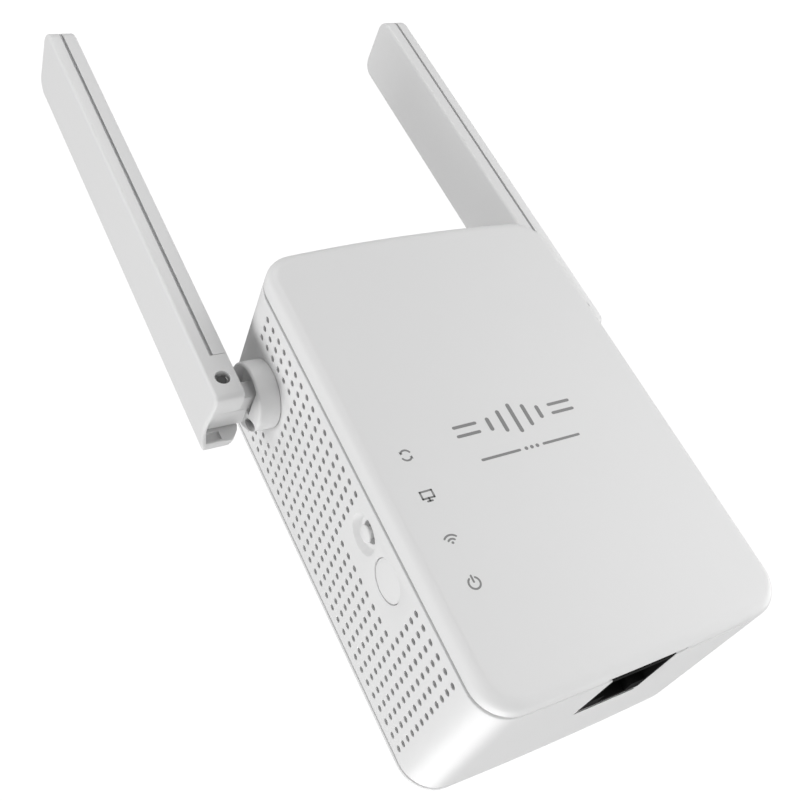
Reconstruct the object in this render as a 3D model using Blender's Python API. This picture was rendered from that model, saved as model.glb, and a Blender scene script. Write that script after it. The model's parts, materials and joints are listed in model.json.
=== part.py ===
"""Wall-plug wifi range extender with two folding antennas.

Frame: metres, +Z up. The front faces -Y, the back face lies in the plane y = 0 and its centre is
the origin. +X is to the right when the front is looked at. All named sizes are millimetres.
"""
import math

import bmesh
import bpy
from mathutils import Matrix, Vector

MM = 0.001
GAP = 0.3                  # clearance between pieces that rest on each other
PAST = 1.0                 # how far a cutter runs past what it cuts
BITE = 0.4                 # how deep one joined solid reaches into the other
ROUND = 32                 # sides of a round piece
SMALL_ROUND = 16           # sides of a small round piece

# ---------------------------------------------------------------- casing
WIDTH = 62.4
HALF_W = WIDTH / 2
HALF_H = 44.66             # to the springing of the arched top and bottom
ARCH_TOP = 1.32
ARCH_BOTTOM = 0.49
CORNER_R = 6.75
WALL = 1.8
FRONT_Y = -38.4
FRONT_SEAM_Y = -34.6
BACK_SEAM_Y = -1.3
FRONT_EDGE_R = 2.0
DRAFT_X = 0.61             # how much each side has come in at the back seam
DRAFT_Z = 0.31
LIP_DEPTH = 2.0
LIP_WALL = 1.2
BACK_PLATE_Y = -3.0

BOSS_X = 25.6
BOSS_Z = 38.6
BOSS_R = 4.0
BOSS_FRONT_Y = -20.0
SCREW_SHANK_R = 1.2
SCREW_CORE_R = 1.0
SCREW_SLOT = (1.5, 0.3, 0.5)
SCREW_HEAD_R = 2.6
SCREW_HEAD_H = 1.0
SCREW_END_Y = -13.0

# ---------------------------------------------------------------- mains plug
PLUG_Z = 12.0
BLADE_SPACING = 12.7
BLADE_WIDTH = 6.35
BLADE_THICK = 1.52
BLADE_OUT = 17.0
BLADE_IN_Y = -9.0
BLADE_TIP_CUT = 1.5
BLADE_HOLE_R = 1.6
BLADE_HOLE_Y = 12.0
INSERT_HALF_X = 12.0
INSERT_HALF_Z = 8.0
INSERT_FLANGE = 2.0
INSERT_IN_Y = -7.0

# ---------------------------------------------------------------- main board and what sits on it
MAIN_FRONT_Y = -20.7
BOARD_THICK = 1.6
MAIN_BACK_Y = MAIN_FRONT_Y + BOARD_THICK
MAIN_HALF_X = 26.4
MAIN_TOP_Z = 20.5
MAIN_SHOULDER_Z = -33.0
MAIN_BOTTOM_Z = -42.0
MAIN_TONGUE_X = 11.0
POST_R = 2.6
MAIN_POSTS = ((-21.0, 16.5), (21.0, 16.5), (21.0, -27.5))

# each part's extent in X and in Z, and its height above the board
BOARD_PARTS = {
    "rf_shield": ((-9.0, 15.0), (-9.0, 9.0), 2.4),
    "processor": ((-2.0, 8.0), (-5.0, 5.0), 1.2),
    "memory_chip": ((-18.0, -12.8), (3.0, 8.0), 1.6),
    "network_transformer": ((-8.0, 8.0), (-22.0, -13.5), 5.0),
}
SHIELD_SHEET = 0.4
BOARD_SCREW_R = 2.2
BOARD_SCREW_LONG = 7.2

JACK_HALF_X = 7.95
JACK_FRONT_Y = -34.2
JACK_BACK_Y = -21.0
JACK_MOUTH_Z = -43.0
JACK_TOP_Z = -27.0
JACK_PORT_HALF_X = 5.9
JACK_PORT_FRONT_Y = -33.0
JACK_PORT_BACK_Y = -25.0
JACK_PORT_TOP_Z = -30.0
JACK_LATCH_HALF_X = 3.0
JACK_LATCH_BACK_Y = -22.4
NOTCH_HALF_X = 6.75
NOTCH_BACK_Y = -20.6
CONTACT_COUNT = 8
CONTACT_PITCH = 1.016
CONTACT_WIDE = 0.45
CONTACT_DEEP = 0.5
CONTACT_TIP_Z = -40.5
CONTACT_BAR_HALF_X = 5.0
CONTACT_BAR_DEEP = 2.4
CONTACT_BAR_TALL = 1.2

LED_X = -23.3
LED_TOP_Z = -0.2
LED_PITCH = 8.0
LED_COUNT = 4
GUIDE_R = 1.0
WINDOW_R = 1.35
WINDOW_Y = -37.7
GUIDE_SPINE_Y = (-30.0, -28.4)
GUIDE_SPINE_HALF_X = 0.8
LED_HALF_X = 0.8
LED_HALF_Z = 0.4
LED_HIGH = 0.7

# ---------------------------------------------------------------- side buttons
BUTTON_Y = -27.7
RESET_Z = -6.9
WPS_Z = -15.9
BUTTON_FACE_X = -31.07     # the left side wall's outer face at the buttons
DISH_R = 3.6
DISH_FLOOR_R = 2.3
DISH_DEPTH = 1.3
DISH_PAD_R = 4.0
DISH_PAD_X = -28.6
RESET_R = 1.5
RESET_SUNK = 0.35
WPS_R = 3.85
BUTTON_CLEAR = 0.25
RESET_FLANGE = 1.1
WPS_FLANGE = 0.75
STEM_R = 1.6
FLANGE_FACE_X = -28.3
STEM_END_X = -27.7
PLUNGER_R = 1.1
PLUNGER_END_X = -25.9
PRESS = 0.6                # how far a button is pushed in
SWITCH_FRONT_X = -26.9
SWITCH_BACK_X = -24.7
SWITCH_HALF = 3.0
BRACKET_X = (-26.1, -24.9)
BRACKET_HALF_Z = 2.5

# ---------------------------------------------------------------- power board and what sits on it
POWER_BACK_Y = -5.0
POWER_FRONT_Y = POWER_BACK_Y - BOARD_THICK
POWER_HALF_X = 21.0
POWER_TOP_Z = 0.5
POWER_BOTTOM_Z = -36.0
POWER_POSTS = ((-17.5, -31.5), (17.5, -31.5))
POWER_SCREW_END_Y = -1.8
PART_BASE_Y = POWER_FRONT_Y - GAP
TRANSFORMER_X = (-4.0, 10.0)
TRANSFORMER_Z = (-22.0, -8.0)
TRANSFORMER_HIGH = 10.6
BOBBIN_RIM = (1.5, 2.0)
BOBBIN_HIGH = 1.6
# place in X and Z, radius and height
CANS = {
    "mains_capacitor": (15.6, -8.0, 4.0, 10.8),
    "output_capacitor": (-12.0, -22.0, 4.0, 10.8),
    "filter_inductor": (16.0, -17.5, 3.0, 8.0),
}
FUSE_X = (1.0, 10.0)
FUSE_Z = -2.5
FUSE_R = 1.7
RECTIFIER_X = (-12.0, -7.0)
RECTIFIER_Z = (-5.5, -1.0)
RECTIFIER_HIGH = 2.4
MAINS_WIRE_R = 0.8
MAINS_PADS = {"left": (-15.5, -3.0), "right": (13.5, -1.2)}
SUPPLY_WIRE_R = 0.7
SUPPLY_X = {"positive": -18.5, "negative": -15.8}
SUPPLY_Z = (-12.0, -8.0)

# ---------------------------------------------------------------- antennas, as distances from the middle
HUB_Y = -18.0
HUB_Z = 29.6
HUB_R = 6.5
HUB_BASE_X = 31.2
HUB_END_X = 35.2
HUB_BARREL_R = 4.4
HUB_BARREL_END_X = 26.4
HUB_BORE_R = 1.8
HUB_GROOVE_R = 3.6
HUB_GROOVE_X = (28.0, 28.9)
RETAINER_R = 6.0
RETAINER_MOUTH = 3.2
BLADE_OUT_X = 44.0
BLADE_IN_X = 38.3
BLADE_SPLIT_X = 41.3
BLADE_Y = -18.4
BLADE_HALF_Y = 7.65
BLADE_TIP_Z = 123.2
BLADE_TIP_R = 3.2
BLADE_FOOT_Z = 24.8
# share of the width from the front edge, and height over the lowest point
FOOT_LINE = (
    (0.0, 1.5), (0.025, 0.7), (0.07, 0.4), (0.2, 0.4), (0.34, 0.6), (0.475, 1.0), (0.61, 1.35),
    (0.72, 1.4), (0.845, 0.8), (0.945, 0.05), (1.0, 0.0),
)
COVER_FOOT_Z = 34.5
SHELL_WALL = 1.4
FACE_WALL = 1.1
TIP_WALL = 1.8
THROUGH_Y = (-40.0, 0.0)
POCKET_WALL = 0.7
PIN_X = 41.15
PIN_R = 0.9
PIN_HALF_Y = 6.9
PIN_HOLE_R = 1.25
KNUCKLE_R = 1.85
KNUCKLE_BORE_R = 1.05
KNUCKLE_HALF_Y = 5.7
NECK_HALF_Y = 2.6
NECK_TOP = 1.8
NECK_BOTTOM = 1.8
HUB_SLOT_WIDE = 1.6
HUB_SLOT_HALF_Z = 4.6
HUB_SLOT_DEEP = 2.4
FOOT_TOP_Z = 27.3
FOOT_GAP_HALF_Y = 3.1
FOOT_RIB_X = (40.6, 41.8)
RADIATOR_X = (40.4, 41.2)
RADIATOR_HALF_Y = 4.0
RADIATOR_Z = (50.0, 112.0)
COAX_R = 0.6
COAX_TAIL_Z = 36.5
# from the knuckle, through the barrel, down behind the main board
COAX_ROUTE = (
    (34.0, HUB_Y, HUB_Z), (30.0, HUB_Y, HUB_Z), (26.0, HUB_Y, HUB_Z), (22.5, -17.8, 28.6),
    (19.5, -17.2, 25.1), (17.0, -16.8, 20.5), (15.5, -17.1, 16.5), (15.0, -18.2, 12.0),
)

for old in list(bpy.data.objects):
    bpy.data.objects.remove(old, do_unlink=True)


def collection(name):
    made = bpy.data.collections.new(name)
    bpy.context.scene.collection.children.link(made)
    return made


PARTS = collection("wifi_range_extender")
CUTTERS = collection("cutters")


# ---------------------------------------------------------------- materials
def material(name, colour, roughness, metallic=0.0):
    made = bpy.data.materials.new(name)
    made.use_nodes = True
    shader = made.node_tree.nodes["Principled BSDF"]
    shader.inputs["Base Color"].default_value = (*colour, 1.0)
    shader.inputs["Roughness"].default_value = roughness
    shader.inputs["Metallic"].default_value = metallic
    return made


CASE_WHITE = material("case_white", (0.80, 0.80, 0.80), 0.42)
BUTTON_WHITE = material("button_white", (0.84, 0.84, 0.84), 0.38)
PLUG_WHITE = material("plug_white", (0.72, 0.72, 0.71), 0.50)
BOARD_GREEN = material("board_green", (0.03, 0.16, 0.08), 0.45)
PLASTIC_BLACK = material("plastic_black", (0.02, 0.02, 0.02), 0.50)
LIGHT_CLEAR = material("light_clear", (0.85, 0.88, 0.90), 0.20)
LED_CREAM = material("led_cream", (0.90, 0.88, 0.70), 0.35)
TINPLATE = material("tinplate", (0.70, 0.70, 0.69), 0.35, 1.0)
STEEL = material("steel", (0.60, 0.60, 0.60), 0.32, 1.0)
BRASS = material("nickel_brass", (0.78, 0.74, 0.62), 0.28, 1.0)
GOLD = material("contact_gold", (0.90, 0.68, 0.25), 0.25, 1.0)
CAPACITOR_SLEEVE = material("capacitor_sleeve", (0.03, 0.04, 0.07), 0.40)
CORE_FERRITE = material("core_ferrite", (0.06, 0.06, 0.06), 0.60)
FUSE_SLEEVE = material("fuse_sleeve", (0.10, 0.25, 0.12), 0.45)
WIRE_RED = material("wire_red", (0.55, 0.03, 0.02), 0.45)
WIRE_BLACK = material("wire_black", (0.02, 0.02, 0.02), 0.45)
WIRE_GREY = material("wire_grey", (0.35, 0.35, 0.36), 0.45)


# ---------------------------------------------------------------- modelling helpers
def place(mesh, name, finish=None):
    """Put a mesh in the scene: with a finish it is a piece, without one it is a cutter."""
    thing = bpy.data.objects.new(name, mesh)
    if finish is None:
        CUTTERS.objects.link(thing)
        thing.hide_render = True
        thing.display_type = "WIRE"
    else:
        PARTS.objects.link(thing)
        mesh.materials.clear()
        mesh.materials.append(finish)
    return thing


def mesh_of(bm, name):
    bmesh.ops.recalc_face_normals(bm, faces=bm.faces)
    mesh = bpy.data.meshes.new(name)
    bm.to_mesh(mesh)
    bm.free()
    return mesh


def box(name, low, high, finish=None, edge=0.0):
    low, high = Vector(low) * MM, Vector(high) * MM
    bm = bmesh.new()
    bmesh.ops.create_cube(bm, size=1.0)
    bmesh.ops.scale(bm, vec=high - low, verts=bm.verts)
    bmesh.ops.translate(bm, vec=(high + low) / 2, verts=bm.verts)
    if edge:
        bmesh.ops.bevel(bm, geom=list(bm.edges), offset=edge * MM, segments=1, affect="EDGES")
    return place(mesh_of(bm, name), name, finish)


AXIS_TURN = {
    "X": Matrix.Rotation(math.pi / 2, 4, "Y"),
    "Y": Matrix.Rotation(-math.pi / 2, 4, "X"),
    "Z": Matrix.Identity(4),
}


def rod(name, axis, start, end, radius, finish=None, end_radius=None, sides=ROUND):
    """A cylinder or cone between two points that lie along one axis; start is the lower end."""
    start, end = Vector(start) * MM, Vector(end) * MM
    end_radius = radius if end_radius is None else end_radius
    bm = bmesh.new()
    bmesh.ops.create_cone(bm, cap_ends=True, segments=sides, radius1=radius * MM,
                          radius2=end_radius * MM, depth=(end - start).length)
    bmesh.ops.transform(bm, matrix=AXIS_TURN[axis], verts=bm.verts)
    bmesh.ops.translate(bm, vec=(start + end) / 2, verts=bm.verts)
    thing = place(mesh_of(bm, name), name, finish)
    smooth(thing)
    return thing


def smooth(thing, angle=35.0):
    thing.data.shade_smooth()
    thing.data.set_sharp_from_angle(angle=math.radians(angle))


def outline_mesh(points, low, high, across):
    """A flat outline made solid between low and high: across is the axis it is extruded along."""
    flat = bpy.data.curves.new("outline", "CURVE")
    flat.dimensions = "2D"
    flat.fill_mode = "BOTH"
    flat.extrude = (high - low) / 2 * MM
    line = flat.splines.new("POLY")
    line.points.add(len(points) - 1)
    for point, (u, v) in zip(line.points, points):
        point.co = (u * MM, v * MM, 0.0, 1.0)
    line.use_cyclic_u = True
    holder = bpy.data.objects.new("outline", flat)
    CUTTERS.objects.link(holder)
    bpy.context.view_layer.update()
    mesh = bpy.data.meshes.new_from_object(holder.evaluated_get(bpy.context.evaluated_depsgraph_get()))
    bpy.data.objects.remove(holder, do_unlink=True)
    bpy.data.curves.remove(flat)
    bm = bmesh.new()
    bm.from_mesh(mesh)
    bpy.data.meshes.remove(mesh)
    bmesh.ops.remove_doubles(bm, verts=bm.verts, dist=0.00001)
    bmesh.ops.dissolve_limit(bm, angle_limit=0.001, verts=bm.verts, edges=bm.edges)
    middle = (low + high) / 2 * MM
    if across == "Y":
        turn = Matrix.Translation((0.0, middle, 0.0)) @ Matrix.Rotation(math.pi / 2, 4, "X")
    else:
        turn = (Matrix.Translation((middle, 0.0, 0.0)) @ Matrix.Rotation(math.pi / 2, 4, "Z")
                @ Matrix.Rotation(math.pi / 2, 4, "X"))
    bmesh.ops.transform(bm, matrix=turn, verts=bm.verts)
    return bm


def cut(thing, *tools):
    boolean(thing, "DIFFERENCE", tools)


def join(thing, *tools):
    boolean(thing, "UNION", tools)


def boolean(thing, operation, tools):
    for tool in tools:
        change = thing.modifiers.new(operation.lower(), "BOOLEAN")
        change.operation = operation
        change.solver = "EXACT"
        change.object = tool


def wire(name, route, radius, finish):
    """A tube along a smooth curve through the route's points, as a mesh with closed ends."""
    path = bpy.data.curves.new(name, "CURVE")
    path.dimensions = "3D"
    path.bevel_depth = radius * MM
    path.bevel_resolution = 2
    path.use_fill_caps = True
    points = smooth_route(route)
    line = path.splines.new("POLY")
    line.points.add(len(points) - 1)
    for point, where in zip(line.points, points):
        point.co = (*(where * MM), 1.0)
    thing = bpy.data.objects.new(name, path)
    PARTS.objects.link(thing)
    path.materials.append(finish)
    return thing


def smooth_route(route, steps=3):
    """Points on a Catmull-Rom curve through the route."""
    knots = [Vector(p) for p in route]
    knots = [2 * knots[0] - knots[1]] + knots + [2 * knots[-1] - knots[-2]]
    points = []
    for a, b, c, d in zip(knots, knots[1:], knots[2:], knots[3:]):
        for step in range(steps):
            t = step / steps
            points.append(0.5 * (2 * b + (c - a) * t + (2 * a - 5 * b + 4 * c - d) * t ** 2
                                 + (3 * b - a - 3 * c + d) * t ** 3))
    return points + [knots[-2]]


# ---------------------------------------------------------------- casing
def case_outline(inset=0.0, corner_steps=8, arch_steps=8):
    """The casing's outline in X and Z: straight sides, round corners, gently arched top and bottom."""
    half_w, half_h = HALF_W - inset, HALF_H - inset
    radius = CORNER_R - inset

    def edge(x, arch):
        return half_h + arch * (1.0 - (x / half_w) ** 2)

    points = []
    for up, arch in ((1, ARCH_TOP), (-1, ARCH_BOTTOM)):
        centre_z = edge(half_w - radius, arch) - radius
        for side in (up, -up):
            corner = []
            for step in range(corner_steps + 1):
                angle = math.pi / 2 * step / corner_steps
                corner.append((side * (half_w - radius + radius * math.cos(angle)),
                               up * (centre_z + radius * math.sin(angle))))
            points += corner if side == up else corner[::-1]
            if side == up:
                for step in range(1, arch_steps):
                    x = (half_w - radius) * (1.0 - 2.0 * step / arch_steps)
                    points.append((side * x, up * edge(x, arch)))
    return points


def draft(bm):
    """Bring the casing's sides in towards the back, in step with their distance from the front seam."""
    for vert in bm.verts:
        share = (vert.co.y / MM - FRONT_SEAM_Y) / (BACK_SEAM_Y - FRONT_SEAM_Y)
        vert.co.x *= 1.0 - DRAFT_X / HALF_W * share
        vert.co.z *= 1.0 - DRAFT_Z / HALF_H * share
    return bm


def case_solid(name, low, high, inset=0.0, finish=None, drafted=True):
    bm = outline_mesh(case_outline(inset), low, high, "Y")
    if drafted:
        draft(bm)
    thing = place(mesh_of(bm, name), name, finish)
    smooth(thing)
    return thing


def round_end_edges(thing, y, width, segments):
    """Round the edges of a solid that lie in the plane y."""
    bm = bmesh.new()
    bm.from_mesh(thing.data)
    rim = [e for e in bm.edges if all(abs(v.co.y - y * MM) < 1e-6 for v in e.verts)]
    bmesh.ops.bevel(bm, geom=rim, offset=width * MM, segments=segments, profile=0.5, affect="EDGES")
    bm.to_mesh(thing.data)
    bm.free()
    smooth(thing)


def front_cover():
    back_y = FRONT_SEAM_Y - GAP / 2
    cover = case_solid("front_cover", FRONT_Y, back_y, finish=CASE_WHITE, drafted=False)
    round_end_edges(cover, FRONT_Y, FRONT_EDGE_R, 4)
    cut(cover, case_solid("front_hollow", FRONT_Y + WALL, FRONT_SEAM_Y + PAST, WALL, drafted=False))
    lip = case_solid("front_lip", FRONT_Y + WALL - BITE, FRONT_SEAM_Y + LIP_DEPTH, WALL + GAP,
                     drafted=False)
    cut(lip, case_solid("lip_hollow", FRONT_Y, FRONT_SEAM_Y + LIP_DEPTH + PAST,
                        WALL + GAP + LIP_WALL, drafted=False))
    cut(lip, box("lip_jack_gap", (-JACK_HALF_X - 2 * GAP, FRONT_Y + WALL + BITE, -HALF_H - PAST),
                 (JACK_HALF_X + 2 * GAP, 0.0, MAIN_SHOULDER_Z)))
    join(cover, lip)
    for index, (x, z) in enumerate(MAIN_POSTS):
        join(cover, rod(f"front_post_{index}", "Y", (x, FRONT_Y + WALL - BITE, z),
                        (x, MAIN_FRONT_Y - GAP, z), POST_R, sides=SMALL_ROUND))
        cut(cover, rod(f"front_post_bore_{index}", "Y", (x, MAIN_FRONT_Y - BOARD_SCREW_LONG, z),
                       (x, MAIN_FRONT_Y, z), SCREW_SHANK_R, sides=SMALL_ROUND))
    for index in range(LED_COUNT):
        z = LED_TOP_Z - LED_PITCH * index
        cut(cover, rod(f"led_window_{index}", "Y", (LED_X, WINDOW_Y, z),
                       (LED_X, FRONT_Y + WALL + PAST, z), WINDOW_R, sides=SMALL_ROUND))


def mid_frame():
    frame = case_solid("mid_frame", FRONT_SEAM_Y + GAP / 2, BACK_SEAM_Y - GAP / 2, finish=CASE_WHITE)
    cut(frame, case_solid("frame_hollow", FRONT_SEAM_Y - PAST, BACK_SEAM_Y + PAST, WALL))
    for x in (-BOSS_X, BOSS_X):
        for z in (-BOSS_Z, BOSS_Z):
            join(frame, rod("boss", "Y", (x, BOSS_FRONT_Y, z), (x, BACK_PLATE_Y - GAP, z), BOSS_R,
                            sides=SMALL_ROUND))
            cut(frame, rod("boss_bore", "Y", (x, SCREW_END_Y - PAST, z), (x, 0.0, z),
                           SCREW_SHANK_R + GAP, sides=SMALL_ROUND))
    cut(frame, box("jack_notch", (-NOTCH_HALF_X, FRONT_SEAM_Y - PAST, -HALF_H - PAST),
                   (NOTCH_HALF_X, NOTCH_BACK_Y, MAIN_SHOULDER_Z)))
    for side in (-1, 1):
        cut(frame, side_rod("hub_hole", side, (HUB_BARREL_END_X, HUB_END_X), HUB_Y, HUB_Z,
                            HUB_BARREL_R + GAP))
    join(frame, rod("dish_pad", "X", (BUTTON_FACE_X + BITE, BUTTON_Y, RESET_Z),
                    (DISH_PAD_X, BUTTON_Y, RESET_Z), DISH_PAD_R))
    slope = (DISH_R - DISH_FLOOR_R) / DISH_DEPTH
    cut(frame, rod("dish", "X", (BUTTON_FACE_X - PAST, BUTTON_Y, RESET_Z),
                   (BUTTON_FACE_X + DISH_DEPTH, BUTTON_Y, RESET_Z), DISH_R + slope * PAST,
                   end_radius=DISH_FLOOR_R))
    cut(frame, rod("reset_hole", "X", (BUTTON_FACE_X - PAST, BUTTON_Y, RESET_Z),
                   (DISH_PAD_X + PAST, BUTTON_Y, RESET_Z), RESET_R + BUTTON_CLEAR))
    cut(frame, rod("wps_hole", "X", (BUTTON_FACE_X - PAST, BUTTON_Y, WPS_Z),
                   (DISH_PAD_X + PAST, BUTTON_Y, WPS_Z), WPS_R + BUTTON_CLEAR))


def back_cover():
    cover = case_solid("back_cover", BACK_SEAM_Y + GAP / 2, 0.0, finish=CASE_WHITE)
    round_end_edges(cover, 0.0, 0.5, 2)
    join(cover, case_solid("back_spigot", BACK_PLATE_Y, -BITE, WALL + GAP))
    for x, z in POWER_POSTS:
        join(cover, rod("power_post", "Y", (x, POWER_BACK_Y + GAP, z), (x, BACK_PLATE_Y + BITE, z),
                        POST_R, sides=SMALL_ROUND))
        cut(cover, rod("power_post_bore", "Y", (x, POWER_BACK_Y - PAST, z), (x, BACK_SEAM_Y, z),
                       SCREW_SHANK_R, sides=SMALL_ROUND))
    for x in (-BOSS_X, BOSS_X):
        for z in (-BOSS_Z, BOSS_Z):
            cut(cover, rod("screw_hole", "Y", (x, BACK_PLATE_Y - PAST, z), (x, PAST, z),
                           SCREW_SHANK_R + GAP, sides=SMALL_ROUND))
            cut(cover, rod("screw_counterbore", "Y", (x, -SCREW_HEAD_H - 2 * GAP, z), (x, PAST, z),
                           SCREW_HEAD_R + GAP))
    cut(cover, box("insert_opening", (-INSERT_HALF_X - GAP, BACK_PLATE_Y - PAST,
                                      PLUG_Z - INSERT_HALF_Z - GAP),
                   (INSERT_HALF_X + GAP, PAST, PLUG_Z + INSERT_HALF_Z + GAP)))


def screw(name, x, z, head_y, end_y, head_r=SCREW_HEAD_R):
    """A pan-head screw along Y: its head starts at head_y, its point is at end_y."""
    way = -1.0 if end_y < head_y else 1.0
    low, high = sorted((head_y, head_y + way * SCREW_HEAD_H))
    thing = rod(name, "Y", (x, low, z), (x, high, z), head_r, STEEL, sides=SMALL_ROUND)
    low, high = sorted((head_y + way * SCREW_HEAD_H / 2, end_y))
    join(thing, rod(name + "_shank", "Y", (x, low, z), (x, high, z), SCREW_CORE_R,
                    sides=SMALL_ROUND))
    half_long, half_wide, deep = SCREW_SLOT
    slot = head_y + way * deep
    for long_x, long_z in ((half_long, half_wide), (half_wide, half_long)):
        cut(thing, box(name + "_recess", (x - long_x, min(head_y - way, slot), z - long_z),
                       (x + long_x, max(head_y - way, slot), z + long_z)))


def case_screws():
    corners = {"upper_left": (-1, 1), "upper_right": (1, 1), "lower_left": (-1, -1),
               "lower_right": (1, -1)}
    for corner, (side, up) in corners.items():
        screw(f"case_screw_{corner}", side * BOSS_X, up * BOSS_Z, -GAP, SCREW_END_Y)


# ---------------------------------------------------------------- mains plug
def plug():
    insert = box("plug_insert", (-INSERT_HALF_X, INSERT_IN_Y, PLUG_Z - INSERT_HALF_Z),
                 (INSERT_HALF_X, 0.0, PLUG_Z + INSERT_HALF_Z), PLUG_WHITE)
    join(insert, box("insert_flange",
                     (-INSERT_HALF_X - INSERT_FLANGE, BACK_PLATE_Y - INSERT_FLANGE,
                      PLUG_Z - INSERT_HALF_Z - INSERT_FLANGE),
                     (INSERT_HALF_X + INSERT_FLANGE, BACK_PLATE_Y - GAP,
                      PLUG_Z + INSERT_HALF_Z + INSERT_FLANGE)))
    for side, x in (("left", -BLADE_SPACING / 2), ("right", BLADE_SPACING / 2)):
        half_t, half_w = BLADE_THICK / 2, BLADE_WIDTH / 2
        cut(insert, box(f"{side}_blade_slot", (x - half_t - GAP, INSERT_IN_Y - PAST, PLUG_Z - half_w - GAP),
                        (x + half_t + GAP, PAST, PLUG_Z + half_w + GAP)))
        shoulder = BLADE_OUT - BLADE_TIP_CUT
        profile = [(BLADE_IN_Y, PLUG_Z - half_w), (shoulder, PLUG_Z - half_w),
                   (BLADE_OUT, PLUG_Z - half_w + BLADE_TIP_CUT),
                   (BLADE_OUT, PLUG_Z + half_w - BLADE_TIP_CUT),
                   (shoulder, PLUG_Z + half_w), (BLADE_IN_Y, PLUG_Z + half_w)]
        name = f"{side}_plug_blade"
        blade = place(mesh_of(outline_mesh(profile, x - half_t, x + half_t, "X"), name), name, BRASS)
        cut(blade, rod(f"{side}_blade_hole", "X", (x - PAST, BLADE_HOLE_Y, PLUG_Z),
                       (x + PAST, BLADE_HOLE_Y, PLUG_Z), BLADE_HOLE_R, sides=SMALL_ROUND))


# ---------------------------------------------------------------- main board
def main_board():
    board = box("main_board", (-MAIN_HALF_X, MAIN_FRONT_Y, MAIN_BOTTOM_Z),
                (MAIN_HALF_X, MAIN_BACK_Y, MAIN_TOP_Z), BOARD_GREEN)
    for side in (-1, 1):
        low, high = span(side, MAIN_TONGUE_X, MAIN_HALF_X + PAST)
        cut(board, box("board_corner", (low, MAIN_FRONT_Y - PAST, MAIN_BOTTOM_Z - PAST),
                       (high, MAIN_BACK_Y + PAST, MAIN_SHOULDER_Z)))
    for index, (x, z) in enumerate(MAIN_POSTS):
        cut(board, rod("board_hole", "Y", (x, MAIN_FRONT_Y - PAST, z), (x, MAIN_BACK_Y + PAST, z),
                       SCREW_SHANK_R + GAP, sides=SMALL_ROUND))
        head_y = MAIN_BACK_Y + GAP + SCREW_HEAD_H
        screw(f"board_screw_{index + 1}", x, z, head_y, head_y - BOARD_SCREW_LONG, BOARD_SCREW_R)
    face = MAIN_FRONT_Y - GAP
    for name, (x, z, high) in BOARD_PARTS.items():
        part = box(name, (x[0], face - high, z[0]), (x[1], face, z[1]), PLASTIC_BLACK)
        if name == "rf_shield":
            part.data.materials[0] = TINPLATE
            cut(part, box("shield_hollow",
                          (x[0] + SHIELD_SHEET, face - high + SHIELD_SHEET, z[0] + SHIELD_SHEET),
                          (x[1] - SHIELD_SHEET, face + PAST, z[1] - SHIELD_SHEET)))


def network_jack():
    jack = box("network_jack", (-JACK_HALF_X, JACK_FRONT_Y, JACK_MOUTH_Z),
               (JACK_HALF_X, JACK_BACK_Y, JACK_TOP_Z), PLASTIC_BLACK)
    cut(jack, box("jack_port", (-JACK_PORT_HALF_X, JACK_PORT_FRONT_Y, JACK_MOUTH_Z - PAST),
                  (JACK_PORT_HALF_X, JACK_PORT_BACK_Y, JACK_PORT_TOP_Z)))
    cut(jack, box("jack_latch", (-JACK_LATCH_HALF_X, JACK_PORT_BACK_Y - PAST, JACK_MOUTH_Z - PAST),
                  (JACK_LATCH_HALF_X, JACK_LATCH_BACK_Y, JACK_PORT_TOP_Z)))
    bar_z = JACK_PORT_TOP_Z - GAP
    front = JACK_PORT_FRONT_Y + GAP
    contacts = box("jack_contacts", (-CONTACT_BAR_HALF_X, front, bar_z - CONTACT_BAR_TALL),
                   (CONTACT_BAR_HALF_X, front + CONTACT_BAR_DEEP, bar_z), GOLD)
    for index in range(CONTACT_COUNT):
        x = (index - (CONTACT_COUNT - 1) / 2) * CONTACT_PITCH
        join(contacts, box("contact_finger", (x - CONTACT_WIDE / 2, front, CONTACT_TIP_Z),
                           (x + CONTACT_WIDE / 2, front + CONTACT_DEEP, bar_z - BITE)))


def indicator_lights():
    heights = [LED_TOP_Z - LED_PITCH * index for index in range(LED_COUNT)]
    base = MAIN_FRONT_Y - GAP
    near, far = GUIDE_SPINE_Y
    guide = box("light_guide", (LED_X - GUIDE_SPINE_HALF_X, near, heights[-1] - 1.5 * GUIDE_R),
                (LED_X + GUIDE_SPINE_HALF_X, far, heights[0] + 1.5 * GUIDE_R), LIGHT_CLEAR)
    for index, z in enumerate(heights):
        join(guide, rod("guide_rod", "Y", (LED_X, WINDOW_Y + GAP, z),
                        (LED_X, base - LED_HIGH - GAP, z), GUIDE_R,
                        sides=SMALL_ROUND))
        box(f"led_{index + 1}", (LED_X - LED_HALF_X, base - LED_HIGH, z - LED_HALF_Z),
            (LED_X + LED_HALF_X, base, z + LED_HALF_Z), LED_CREAM)


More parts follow.
